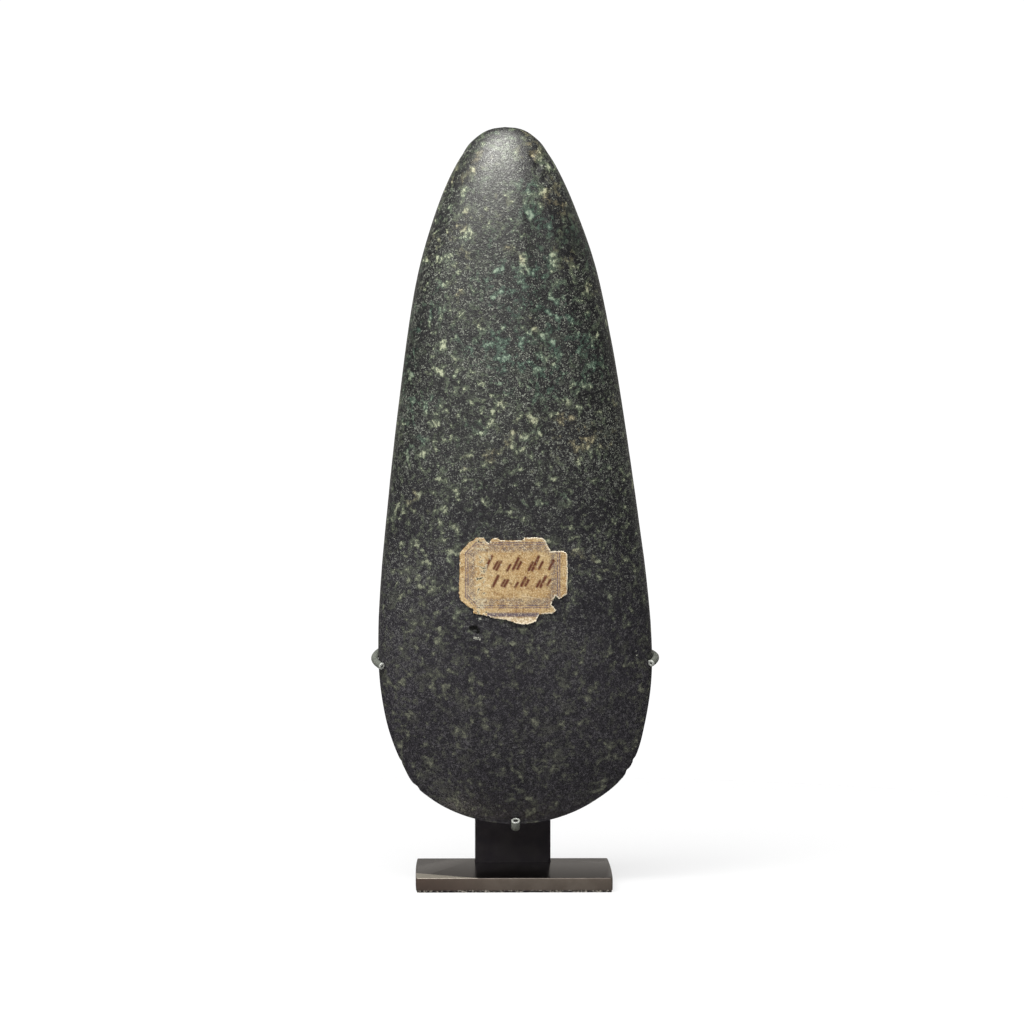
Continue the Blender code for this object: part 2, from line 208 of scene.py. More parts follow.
# Where the flecks gather, or with a strength below 0 thin out
FLECK_ZONES = [
    (9.0, 184.0, 5.0, 11.0, 1.2),
    (-12.5, 182.0, 4.0, 9.0, 1.0),
    (-2.0, 160.0, 19.0, 22.0, 0.8),
    (6.0, 128.0, 20.0, 18.0, 0.6),
    (-20.0, 82.0, 9.0, 14.0, 0.7),
    (22.0, 88.0, 9.0, 9.0, 0.5),
    (-22.0, 48.0, 11.0, 16.0, 0.2),
    (3.0, 101.0, 20.0, 8.0, -1.2),
    (-3.0, 148.0, 6.0, 8.0, -0.7),
    (26.0, 70.0, 9.0, 12.0, -0.5),
]

# Where the stone is darker and its flecks lack pale cores
CALM_ZONES = [
    (-4.0, 195.0, 10.0, 17.0, 1.0),
    (14.0, 171.0, 7.0, 12.0, 0.9),
]

# Pale bruises
WORN_ZONES = [
    (4.9, 192.4, 1.3, 1.4, 0.7),
    (6.8, 190.0, 1.5, 2.0, 0.65),
    (8.4, 187.4, 1.2, 2.4, 0.6),
    (6.0, 187.0, 1.2, 1.6, 0.5),
    (9.6, 182.0, 1.6, 3.4, 0.5),
    (-9.8, 65.9, 1.5, 0.60, 1.6),
    (-8.9, 70.9, 0.55, 0.55, 1.8),
    (4.9, 129.9, 0.9, 0.5, 1.2),
    (31.9, 61.0, 0.4, 2.4, 0.75),
    (32.2, 54.4, 0.4, 1.4, 0.75),
]

# Painted shade in the deepest pits, darkening them nearly to black
PIT_SHADE_ZONES = [
    (-10.4, 68.4, 1.25, 0.80, 1.3),
    (-9.4, 67.5, 0.80, 0.40, 0.9),
    (1.2, 67.6, 0.35, 1.10, 0.5),
    (-8.0, 69.6, 0.60, 0.25, 0.5),
]

COLOUR_ZONES = {
    "teal": TEAL_ZONES,
    "warm": WARM_ZONES,
    "gather": FLECK_ZONES,
    "calm": CALM_ZONES,
    "worn": WORN_ZONES,
    "pit_shade": PIT_SHADE_ZONES,
}

# Patterns of the stone: size of the grains, detail and roughness of the noise. Those in
# crystals keep one value over each small crystal
SMALL_CRYSTAL = 0.26 * MM
LARGE_CRYSTAL = 0.8 * MM
PATTERNS_IN_CRYSTALS = {
    "clumps": (1.7 * MM, 3.0, 0.60),
    "drifts": (4.4 * MM, 4.0, 0.60),
    "flecks": (2.0 * MM, 4.0, 0.62),
    "chips": (1.0 * MM, 3.0, 0.70),
}
SMOOTH_PATTERNS = {
    "clouds": (20 * MM, 4.0, 0.6),
    "groups": (7 * MM, 2.0, 0.5),
    "hue": (9 * MM, 3.0, 0.6),
}

# Heights between which the look of the lower end passes into that of the upper end
LOWER_END = 0.045
UPPER_END = 0.135

# Layers of the stone: how much each pattern or zone weighs in a layer's level, the levels
# between which the layer comes in, and the most that it covers
GROUND_WEIGHTS = {
    "small": 0.72,
    "large": 0.22,
    "clumps": 0.50,
    "clouds": 0.46,
    "gather": 0.045,
    "calm": -0.10,
}
FLECK_WEIGHTS = {
    "flecks": 1.0,
    "groups": 0.30,
    "gather": 0.035,
    "upper": 0.01,
    "small": 0.07,
    "large": 0.05,
}
STONE_LAYERS = {
    "mid": (GROUND_WEIGHTS, 0.70, 1.16, 1.0),
    "light": (GROUND_WEIGHTS, 1.08, 1.42, 1.0),
    "drift": ({"drifts": 1.0, "small": 0.10, "clouds": 0.25, "calm": 0.06}, 0.72, 0.90, 0.36),
    "halo": (FLECK_WEIGHTS, 0.73, 0.84, 0.88),
    "core": (FLECK_WEIGHTS | {"calm": -0.08}, 0.83, 0.93, 0.88),
    "teal": ({"teal": 0.22, "hue": 1.0}, 0.52, 0.78, 0.80),
    "warm": ({"warm": 0.22, "hue": -1.0}, -0.42, -0.22, 1.0),
    "worn": ({"worn": 0.34, "chips": 1.0, "small": 0.10}, 0.84, 0.96, 0.85),
    # The pit layer paints shade into the deepest pits
    "pit_shade": ({"pit_shade": 1.0, "chips": 0.4}, 0.48, 0.78, 0.94),
}

# All colours are sRGB numbers. Those of the ground: at the lower end, at the upper end
DARK_GROUND = ((30, 28, 34), (17, 17, 19))
MID_GROUND = ((54, 51, 57), (44, 43, 45))
LIGHT_GROUND = ((86, 84, 86), (138, 142, 129))
DRIFT = ((82, 83, 70), (86, 93, 79))

# Colours of a fleck's halo and of its core
LOWER_FLECK = ((72, 73, 65), (112, 113, 96))
PLAIN_FLECK = ((82, 90, 74), (182, 187, 156))
TEAL_FLECK = ((57, 80, 70), (126, 149, 132))
WARM_FLECK = ((94, 88, 70), (184, 174, 140))
WORN_STONE = (170, 171, 156)
# Painted shade for the deepest pits
PAINTED_PIT_SHADE = (9, 9, 9)

# Polish: roughness from the dullest to the glossiest crystal, the fine grain, and its
# strength at the lower and at the upper end
STONE_ROUGHNESS = (0.54, 0.23)
STONE_SPECULAR = 0.76
STONE_SPECULAR_TINT = (1.0, 0.99, 0.93, 1.0)
GRAIN = (0.36 * MM, 2.0, 0.6)
GRAIN_DEPTH = 0.10 * MM
GRAIN_STRENGTH = (0.5, 1.0)

# Paper label
LABEL_WIDTH = 0.028
LABEL_HEIGHT = 0.0224
LABEL_CENTRE = Vector((-0.0003, 0.0808))
LABEL_SPACING = 0.16 * MM
LABEL_EDGE_MARGIN = LABEL_SPACING * 0.6
LABEL_MERGE_DISTANCE = 1e-7
LABEL_TEAR_STEP = 0.20 * MM
LABEL_TEAR_DEPTH = 0.17 * MM
LABEL_TEAR_SIZE = 0.55 * MM
LABEL_GAP = 0.10 * MM
LABEL_THICKNESS = 0.16 * MM
LABEL_CURL = 0.16 * MM
LABEL_CURL_REACH = 0.7 * MM
LABEL_CURL_SIZE = 3.1 * MM
LABEL_WAVES = [(1.4 * MM, 0.03 * MM), (0.5 * MM, 0.02 * MM)]
LABEL_FLAP_LIFT = 0.55 * MM
LABEL_FLAP_POWER = 1.4

# Torn outline, clockwise from the upper left, as shares of the label's width and height
LABEL_OUTLINE = [
    (-0.345, 0.498), (-0.270, 0.500), (-0.254, 0.459), (-0.222, 0.431), (-0.195, 0.489),
    (-0.151, 0.498), (-0.112, 0.470), (0.081, 0.468), (0.103, 0.500), (0.248, 0.500),
    (0.283, 0.481), (0.345, 0.342), (0.459, 0.344), (0.496, 0.307), (0.500, 0.086),
    (0.494, -0.153), (0.424, -0.212), (0.385, -0.175), (0.349, -0.270), (0.393, -0.339),
    (0.358, -0.379), (0.240, -0.386), (0.204, -0.468), (0.139, -0.500), (0.055, -0.498),
    (-0.059, -0.453), (-0.191, -0.425), (-0.274, -0.394), (-0.367, -0.375), (-0.368, -0.325),
    (-0.411, -0.305), (-0.488, -0.220), (-0.500, -0.136), (-0.493, 0.086), (-0.492, 0.320),
    (-0.402, 0.451), (-0.371, 0.456),
]

# Printed border: a thin line and a hatched band inside it, both with clipped corners
BORDER_CENTRE = Vector((-0.15 * MM, 1.54 * MM))
BORDER_HALF = Vector((12.05 * MM, 8.41 * MM))
BORDER_CORNER = 2.7 * MM
BORDER_LINE_HALF = 0.17 * MM
BORDER_LINE_INSETS = (0.0, 0.55 * MM)
BORDER_BAND_INSET = 1.55 * MM
BORDER_BAND_HALF = 0.80 * MM
HATCH_SPACING = 0.62 * MM
HATCH_TONE = (0.72, 0.28)
STRIPE_SPAN = (-6.7 * MM, 6.6 * MM)
STRIPE_HEIGHT = -8.75 * MM
STRIPE_HALF = 0.55 * MM
FLAP_TOP = -9.25 * MM
BARE_PLY_SOFTNESS = 0.2 * MM

# Faded ink: rows of slanting strokes, as left end, right end, foot, full height and number
# of strokes
INK_ROWS = [
    (-7.2 * MM, 8.6 * MM, 3.0 * MM, 3.4 * MM, 10),
    (-5.2 * MM, 9.0 * MM, -1.3 * MM, 2.6 * MM, 9),
]
INK_STROKE_SHARES = (1.0, 0.5, 0.62, 0.42, 0.8, 0.5, 0.58)
INK_SIDE_WANDER = 0.35
INK_FOOT_WANDER = 0.25 * MM
INK_SLANT = 0.42
INK_LEAST_SLANT = 0.2 * MM
INK_HALF_WIDTH = 0.32 * MM

# Stains, as x, y and radius in millimetres and strength, and the ends of a pale crease
STAINS = [
    (-6.8, 7.8, 0.45, 1.0),
    (-12.2, 0.2, 0.50, 0.9),
    (9.6, -1.8, 0.70, 0.5),
    (-3.0, -6.4, 0.55, 0.5),
]
CREASE = ((2.0 * MM, -3.8 * MM), (8.2 * MM, -4.8 * MM))
CREASE_HALF = 0.10 * MM

# Wear of the paper: how far the rubbed rim and the torn fringe reach in from the edge,
# and the torn stretch at the left
RIM_REACH = 0.45 * MM
FRINGE_REACH = 0.42 * MM
LEFT_WEAR_X = -8.4 * MM
LEFT_WEAR_HALF = 2.6 * MM

# Patterns of the paper: size of the grains, detail and roughness of the noise
PAPER_PATTERNS = {
    "fibre": (0.45 * MM, 3.0, 0.7),
    "blotch": (4.5 * MM, 3.0, 0.6),
    "scuff": (1.1 * MM, 4.0, 0.7),
    "speckle": (0.34 * MM, 3.0, 0.7),
}
FLAKES = (1.0 * MM, 4.0, 0.68)
FLAKE_PUSH = (1.2 * MM, 3.0, 0.6)
FLAKE_PUSH_REACH = 0.7 * MM

# Relief of the paper, as depth and strength, its polish, and its two mixed colours
PAPER_WRINKLES = (0.16 * MM, 0.9)
PAPER_FIBRES = (0.05 * MM, 0.6)
PAPER_ROUGHNESS = 0.85
PAPER_SPECULAR = 0.25
PAPER_TAN = ((168, 134, 86), (188, 161, 116))
TORN_PLY = ((160, 136, 102), (206, 192, 164))

# Layers over the tan paper, from the lowest: the field that each keeps to, if any, the
# most that it covers, its colour, which is the torn ply's if none is given, and the
# patterns that thin it out, each as two levels and the share that is left at either
PAPER_LAYERS = [
    (None, 0.70, (206, 184, 142), [("fibre", 0.42, 0.72, 0.0, 1.0)]),
    (None, 0.65, (124, 88, 56), [("scuff", 0.47, 0.32, 0.0, 1.0)]),
    ("crease", 0.60, (212, 196, 166), []),
    ("stain", 0.75, (92, 64, 44), []),
    ("border_line", 0.90, (92, 80, 96), [("scuff", 0.66, 0.46, 0.25, 1.0)]),
    (
        "border_band",
        0.95,
        (92, 87, 95),
        [("scuff", 0.66, 0.46, 0.25, 1.0), ("fibre", 0.35, 0.60, 0.45, 1.0)],
    ),
    (None, 0.60, (136, 98, 64), [("rubbed_rim", 0.30, 0.60, 0.0, 1.0)]),
    ("stripe", 0.90, (92, 84, 98), [("scuff", 0.74, 0.58, 0.0, 1.0)]),
    ("bare_ply", 1.00, None, []),
    ("fringe", 1.00, (238, 229, 206), [("bared", 0.46, 0.54, 0.0, 1.0)]),
    (None, 0.72, (88, 66, 48), [("speckle", 0.46, 0.33, 0.0, 1.0)]),
    (None, 0.62, (226, 211, 178), [("speckle", 0.54, 0.65, 0.0, 1.0)]),
    ("ink", 1.00, (84, 33, 24), [("scuff", 0.30, 0.46, 0.10, 0.94)]),
    (None, 0.80, (206, 194, 164), [("flaking", 0.66, 0.72, 0.0, 1.0)]),
    (None, 1.00, (62, 60, 48), [("flaking", 0.745, 0.775, 0.0, 1.0)]),
]

# Base plate
BASE_BOW = 0.25 * MM
BASE_CORNER = 0.5 * MM
BASE_LEAST_CORNER = 0.05 * MM
BASE_CORNER_STEPS = 4
BASE_SLOT_CLEARANCE = 0.12 * MM
BASE_POST_SINK = 2.1 * MM
BASE_SIDE_STEPS = (150, 112, 150, 112)
BASE_CHIP_SIZE = 0.9 * MM
BASE_SHARP_ANGLE = math.radians(38)

# Levels of the plate from its foot, in millimetres: height, inset, depth of the chips
BASE_LEVELS = [
    (0.00, 0.32, 0.00),
    (0.06, 0.24, 0.00),
    (0.42, 0.22, 0.00),
    (0.50, 0.10, 0.10),
    (0.58, 0.03, 0.08),
    (0.80, 0.00, 0.02),
    (2.10, 0.00, 0.00),
    (3.58, 0.00, 0.01),
    (3.67, 0.02, 0.02),
    (3.74, 0.07, 0.02),
    (3.78, 0.13, 0.01),
    (3.80, 0.21, 0.00),
]

# Bronze of the plate: heights of its foot line and chips, the reach of the painted shade at the
# left end, and the wedge of painted reflection on its top, with its depth at the left end and how
# fast it narrows
BASE_FOOT_LINE = 0.5 * MM
BASE_CHIP_TOP = 1.00 * MM
BASE_CHIP_FOOT = 0.45 * MM
BASE_LIT_REACH = 30 * MM
WEDGE_DEPTH = 9.6 * MM
WEDGE_SLOPE = 0.60
WEDGE_FRONT = 0.2 * MM
WEDGE_SOFTNESS = 0.5 * MM
BRONZE_PATTERNS = {
    "cloud": (9 * MM, 4.0, 0.6),
    "mottle": (1.3 * MM, 3.0, 0.7),
    "fine": (0.35 * MM, 2.0, 0.7),
    "speck": (0.38 * MM, 2.0, 0.6),
}
CHIP_WEIGHTS = {"speck": 1.0, "mottle": 0.35, "low_down": 0.16}

# How metallic and how rough the plate is at its sides and on its top, and its colours
BRONZE_METALLIC = (0.3, 0.96)
BRONZE_ROUGHNESS = (0.36, 0.13)
BRONZE_WAVES = (0.02 * MM, 0.3)
BRONZE_GRAIN = (0.002 * MM, 0.4)
# The sides run from painted shade at the left end to their plain brown
BRONZE_SIDE = ((79, 66, 58), (98, 89, 80))
BRONZE_CLOUD = (72, 63, 56)
BRONZE_TOP = (60, 55, 51)
BRONZE_FOOT = (38, 35, 38)
BRONZE_CHIP = (196, 188, 174)
# A painted pale reflection for the wedge on the top's front left
BRONZE_PAINTED_REFLECTION = (196, 188, 172)

# Blackened metal and tubing: patterns, colours mixed in them, roughness, and the rest
BLACKENED_CLOUD = (7 * MM, 4.0, 0.6)
BLACKENED_GRAIN = (0.5 * MM, 3.0, 0.7)
BLACKENED_METALLIC = 0.6
BLACKENED_ROUGHNESS = (0.36, 0.52)
TUBING_HAZE = (1.2 * MM, 3.0, 0.6)
TUBING_ROUGHNESS = (0.16, 0.22)
TUBING_TRANSMISSION = 0.12
TUBING_IOR = 1.5
BLACKENED = ((84, 79, 85), (98, 93, 96))
BLACKENED_RUBBED = (96, 88, 84)
TUBING = ((96, 99, 92), (112, 114, 106))
# A painted highlight for the rounded rim at the open end
TUBING_PAINTED_GLINT = (172, 174, 167)

# Rods and tubing, with the stations on their curves. Those of the prong's are on its bend
# and on the straight above
ROD_SMOOTHING = 2
WELD_DISTANCE = 0.005 * MM
TUBE_COLUMNS = 40
TUBE_STATIONS = 60
TUBE_RIM_STEPS = 8
TUBE_MOUTH_LENGTH = 0.25 * MM
ROD_STATIONS = 160
BEND_STATIONS = 40
PRONG_STATIONS = (60, 20)
ROD_EDGE_SHARE = 0.2
ROD_RIM = (0.4, 0.8, 1.2, math.pi / 2)

# Side hooks, which run down round the edges of the stone
HOOK_EDGE_HEIGHT = 59.5 * MM
HOOK_DROP = 7.8 * MM
HOOK_BACK_ANGLE = math.radians(122)
HOOK_DROP_ANGLE = math.radians(74)
LEFT_HOOK_TIP_ANGLE = math.radians(197.3)
RIGHT_HOOK_TIP_ANGLE = math.radians(194.2)
HOOK_ROD_RADIUS = 0.50 * MM
HOOK_ROD_RECESS = 0.45 * MM
HOOK_SOCKET_DEPTH = 2.8 * MM
SURFACE_STEP = 1e-4

# Heights added along a hook, from the post to the tip: angle, height
LEFT_HOOK_LIFT = [
    (math.radians(122), 0.0),
    (math.radians(150), 0.60 * MM),
    (math.radians(178), 0.80 * MM),
    (math.radians(200), 0.90 * MM),
]
RIGHT_HOOK_LIFT = [
    (math.radians(122), 0.0),
    (math.radians(142), -0.80 * MM),
    (math.radians(160), -1.00 * MM),
    (math.radians(180), -0.40 * MM),
    (math.radians(200), 0.0),
]
HOOK_TUBE_LENGTH = 12.8 * MM
HOOK_TUBE_RADIUS = 0.91 * MM
HOOK_TUBE_BORE = 0.56 * MM
HOOK_TUBE_MOUTH = 0.30 * MM
HOOK_STAND_OFF = 0.86 * MM

# Tubing on the bottom prong, which bends up in front of the cutting edge
PRONG_X = 0.5 * MM
PRONG_Y = -6.893 * MM
PRONG_BEND_TOP = 16.65 * MM
PRONG_BEND_RADIUS = 1.6 * MM
PRONG_BEND_TURN = math.radians(52)
PRONG_TUBE_TOP = 17.28 * MM
PRONG_TUBE_LEAN = 0.13 * MM
PRONG_TUBE_RADIUS = 1.18 * MM
PRONG_TUBE_BORE = 0.80 * MM
PRONG_TUBE_MOUTH = 0.62 * MM

# Camera
CAMERA_PLACE = (-0.01557, -1.1046, 0.15717)
CAMERA_TILT = math.pi / 2 - 0.05399
CAMERA_TURN = -0.01376
CAMERA_LENS = 148.68
CAMERA_SENSOR = 36

# Stage
FLOOR_RADIUS = 0.24
FLOOR_COLOUR = (0.2, 0.2, 0.2)
FLOOR_GLOW = 0.73
DOME_RADIUS = 5.0
DOME_GLOW = 1.05

# Lights: azimuths are left of the front. Of the soft ones: name, power, azimuth, elevation,
# distance, width and height
WORLD_STRENGTH = 0.04
KEY_AIM = (0, 0, 0.10)
KEY_ANGLES = (45, 56)
KEY_SPREAD = math.radians(26)
KEY_STRENGTH = 0.9
SOFT_AIM = (0, 0, 0.17)
SOFT_LIGHTS = [
    ("top", 8.0, 15, 60, 0.75, (0.70, 0.42)),
    ("softbox", 5.6, 27, 34, 0.90, (1.35, 0.62)),
    ("rim", 0.1, 238, 10, 0.80, (0.20, 0.50)),
    ("crown", 3.0, 30, 88, 0.70, (0.50, 0.40)),
    ("behind", 0.62, 180, 5, 0.80, (1.60, 0.50)),
]
BEHIND_COLOUR = (1.0, 0.93, 0.86)


def unit(vector):
    """A vector of length 1 in the same direction."""
    return vector / np.linalg.norm(vector)


def smooth_value(stations, share, column=1):
    """Reads a table of stations at shares of the length, with a smooth cubic between them."""
    table = np.array(stations)
    knots, values = table[:, 0], table[:, column]
    last = len(knots) - 1
    ahead = np.minimum(np.arange(last + 1) + 1, last)
    behind = np.maximum(np.arange(last + 1) - 1, 0)
    slopes = (values[ahead] - values[behind]) / (knots[ahead] - knots[behind])
    share = np.clip(share, knots[0], knots[last])
    start = np.clip(np.searchsorted(knots, share) - 1, 0, last - 1)
    width = knots[start + 1] - knots[start]
    u = (share - knots[start]) / width
    return (
        values[start] * (1 + 2 * u) * (1 - u) ** 2
        + slopes[start] * width * u * (1 - u) ** 2
        + values[start + 1] * u * u * (3 - 2 * u)
        + slopes[start + 1] * width * u * u * (u - 1)
    )


def stone_sections(share):
    """Half widths to the left and right, half depth and section power at shares."""
    ring = 2 * np.sqrt(np.clip(share * (1 - share), 0, None))
    left = STONE_WIDTH / 2 * ring * smooth_value(OUTLINE_FULLNESS, share, 1)
    right = STONE_WIDTH / 2 * ring * smooth_value(OUTLINE_FULLNESS, share, 2)
    depth = STONE_THICKNESS / 2 * ring * smooth_value(DEPTH_FULLNESS, share)
    return left, right, depth, smooth_value(SECTION_POWER, share)


def stone_surface(share, angle):
    """Points of the smooth stone in the part's frame. Angle 0 is the right edge and a
    quarter turn is the back."""
    left, right, depth, power = stone_sections(share)
    cosine, sine = np.cos(angle), np.sin(angle)
    x = np.where(cosine >= 0, right, left) * cosine
    y = depth * np.sign(sine) * np.abs(sine) ** power
    z = STONE_LENGTH * (1 - share)
    along_x = x * LEAN_COS - z * LEAN_SIN + STONE_SIDE_SHIFT
    along_z = x * LEAN_SIN + z * LEAN_COS + STONE_EDGE_HEIGHT
    return np.stack([along_x, y + STONE_MIDDLE_Y, along_z], axis=-1)


def on_stone(x, z):
    """Where places in front of the stone lie on it: how far across from its middle line,
    and at what share of its length."""
    across, up = x - STONE_SIDE_SHIFT, z - STONE_EDGE_HEIGHT
    local_x = across * LEAN_COS + up * LEAN_SIN
    local_z = up * LEAN_COS - across * LEAN_SIN
    return local_x, 1 - local_z / STONE_LENGTH


def stone_front_y(x, z):
    """How far forward the smooth stone reaches at places in front of it."""
    local_x, share = on_stone(x, z)
    left, right, depth, power = stone_sections(share)
    cosine = local_x / np.where(local_x >= 0, right, left)
    sine = np.sqrt(np.clip(1 - cosine**2, 0, 1))
    return STONE_MIDDLE_Y - depth * sine**power


def wave(points, size):
    """Smooth noise from -1 to 1 at points, with hills of about a given size."""
    return np.array([noise.noise(Vector(p)) for p in np.asarray(points) / size])


def hump(distance):
    """A soft bell that is 1 at distance 0 and 0 from distance 1 outwards."""
    return np.clip(1 - distance**2, 0, 1) ** 2


def bell(points, zones, side):
    """The sum of soft zones at points. The zones of the back are those of the front turned
    round to the other side."""
    total = np.zeros(len(points))
    x = np.where(side < 0, points[:, 0], -points[:, 0])
    for *box, strength in zones:
        centre_x, centre_z, half_width, half_height = np.array(box) * MM
        across = (x - centre_x) / half_width
        up = (points[:, 2] - centre_z) / half_height
        total += strength * np.exp(-(across**2 + up**2))
    return total


def smooth_mesh(name, points, faces):
    """A mesh with smooth shading."""
    mesh = bpy.data.meshes.new(name)
    mesh.from_pydata([tuple(p) for p in points], [], faces)
    mesh.shade_smooth()
    return mesh


def grid_mesh(name, points, rings, columns):
    """A closed mesh from a first pole, rings of points and a last pole."""
    faces = []
    for column in range(columns):
        beside = (column + 1) % columns
        faces.append((0, 1 + column, 1 + beside))
        for ring in range(rings - 1):
            upper, lower = 1 + ring * columns, 1 + (ring + 1) * columns
            faces.append((upper + column, lower + column, lower + beside, upper + beside))
        last = 1 + (rings - 1) * columns
        faces.append((last + column, 1 + rings * columns, last + beside))
    return smooth_mesh(name, points, faces)


def finished_mesh(name, shape):
    """A mesh made from a shape, which is freed."""
    mesh = bpy.data.meshes.new(name)
    shape.to_mesh(mesh)
    shape.free()
    return mesh


def scene_object(name, data):
    """A new object in the scene."""
    made = bpy.data.objects.new(name, data)
    bpy.context.scene.collection.objects.link(made)
    return made


def shown_piece(name, mesh, finish, node):
    """An object for a mesh that rides on the part and stands for a CAD node."""
    piece = scene_object(name, mesh)
    mesh.materials.append(finish)
    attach(piece, "root")
    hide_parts(node)
    return piece


def set_field(mesh, name, values):
    """Stores one number for each vertex, for the material to read."""
    field = mesh.attributes.new(name, "FLOAT", "POINT")
    field.data.foreach_set("value", np.asarray(values, np.float32))


def stone_grid():
    """Points of the smooth stone, from pole to pole, in rings."""
    steps = np.arange(1, STONE_RINGS + 1) / (STONE_RINGS + 1)
    rounded = (1 - np.cos(np.pi * steps)) / 2
    shares = rounded * RING_POLE_BLEND + steps * (1 - RING_POLE_BLEND)
    front = -np.pi + np.pi * np.arange(STONE_FRONT_COLUMNS) / STONE_FRONT_COLUMNS
    back = np.pi * np.arange(STONE_BACK_COLUMNS) / STONE_BACK_COLUMNS
    angles = np.concatenate([front, back])
    share = np.repeat(shares, len(angles))
    angle = np.tile(angles, len(shares))
    poles = stone_surface(np.array([0.0, 1.0]), np.array([0.0, 0.0]))
    return np.vstack([poles[:1], stone_surface(share, angle), poles[1:]]), len(angles)


def stone_relief(points, normals):
    """How far each point of the stone sinks below the smooth form."""
    sunk = np.full(len(points), SURFACE_INSET)
    for size, depth in GRIND_WAVES:
        sunk += depth * wave(points, size)
    side = normals[:, 1]
    rough = wave(points, ROUGH_SIZE)
    for x, z, half_width, half_height, depth in np.array(FRONT_PITS) * MM:
        across = (points[:, 0] - x) / half_width
        up = (points[:, 2] - z) / half_height
        bowl = hump(np.sqrt(across**2 + up**2) / PIT_REACH)
        sunk += np.where(side < 0.1, depth * bowl * (1 + PIT_ROUGHNESS * rough), 0)
    above_edge = points[:, 2] - STONE_EDGE_HEIGHT
    edge = np.clip(1 - above_edge / BLADE_WEAR_HEIGHT, 0, 1)
    sunk += BLADE_WEAR * edge * np.clip(wave(points, BLADE_WEAR_SIZE) - 0.1, 0, 1)
    blade = BLADE_RELIEF_SHARE * np.abs(points[:, 1] - STONE_MIDDLE_Y)
    blade += BLADE_RELIEF_RISE * np.clip(above_edge - BLADE_HEIGHT, 0, None)
    return np.clip(sunk, 0.0, blade)


def edge_nicks(points):
    """Moves points in the blade's own plane, so that the edges show small nicks."""
    rough = wave(points, ROUGH_SIZE)
    for x, z, radius, depth in np.array(EDGE_NICKS) * MM:
        distance = np.hypot(points[:, 0] - x, points[:, 2] - z) / radius
        inward = unit(np.array((-x, 0.0, NICK_AIM_HEIGHT - z)))
        push = depth * hump(distance) * (1 + NICK_ROUGHNESS * rough)
        points = points + push[:, None] * inward
    return points


def facet_relief(points, normals):
    """How far the long facets sink below the round front. A parabola over an arc leaves a
    flat with a soft ridge at both of its sides."""
    local_x, share = on_stone(points[:, 0], points[:, 2])
    left, right, _, _ = stone_sections(share)
    half = np.maximum(np.where(local_x >= 0, right, left), MM)
    sunk = np.zeros(len(points))
    for centre, spread, foot, top, depth in FRONT_FACETS:
        flat = np.clip(1 - ((local_x / half - centre) / spread) ** 2, 0, 1)
        ends = np.clip((points[:, 2] - foot) / FACET_FADE, 0, 1)
        ends *= np.clip((top - points[:, 2]) / FACET_FADE, 0, 1)
        sunk += np.where(normals[:, 1] < 0, depth * flat * ends * ends * (3 - 2 * ends), 0)
    return sunk


def ground_flat(points):
    """Brings what stands outside the butt's flats down to them."""
    for place, outward in BUTT_FLATS:
        direction = np.array(Vector(outward).normalized())
        above = (points - np.array(place)) @ direction
        lowered = np.where(
            above > -FLAT_SOFTNESS, (above + FLAT_SOFTNESS) ** 2 / (4 * FLAT_SOFTNESS), 0
        )
        lowered = np.where(above > FLAT_SOFTNESS, above, lowered)
        points = points - lowered[:, None] * direction
    return points


def make_stone():
    """The polished stone with its undulations, pits, chips and flecks."""
    points, columns = stone_grid()
    mesh = grid_mesh("jadeite_axe_head", points, STONE_RINGS, columns)
    normals = np.zeros(len(points) * 3)
    mesh.vertex_normals.foreach_get("vector", normals)
    normals = normals.reshape(-1, 3)
    relief = stone_relief(points, normals) + facet_relief(points, normals)
    moved = edge_nicks(ground_flat(points - normals * relief[:, None]))
    mesh.vertices.foreach_set("co", moved.astype(np.float32).ravel())
    mesh.update()
    mesh.set_sharp_from_angle(angle=STONE_SHARP_ANGLE)
    for name, zones in COLOUR_ZONES.items():
        set_field(mesh, name, bell(points, zones, normals[:, 1]))
    shown_piece("jadeite_axe_head", mesh, stone_finish(), "axe_head")


def new_material(name):
    """A new material with a shader."""
    made = bpy.data.materials.new(name)
    made.use_nodes = True
    return made


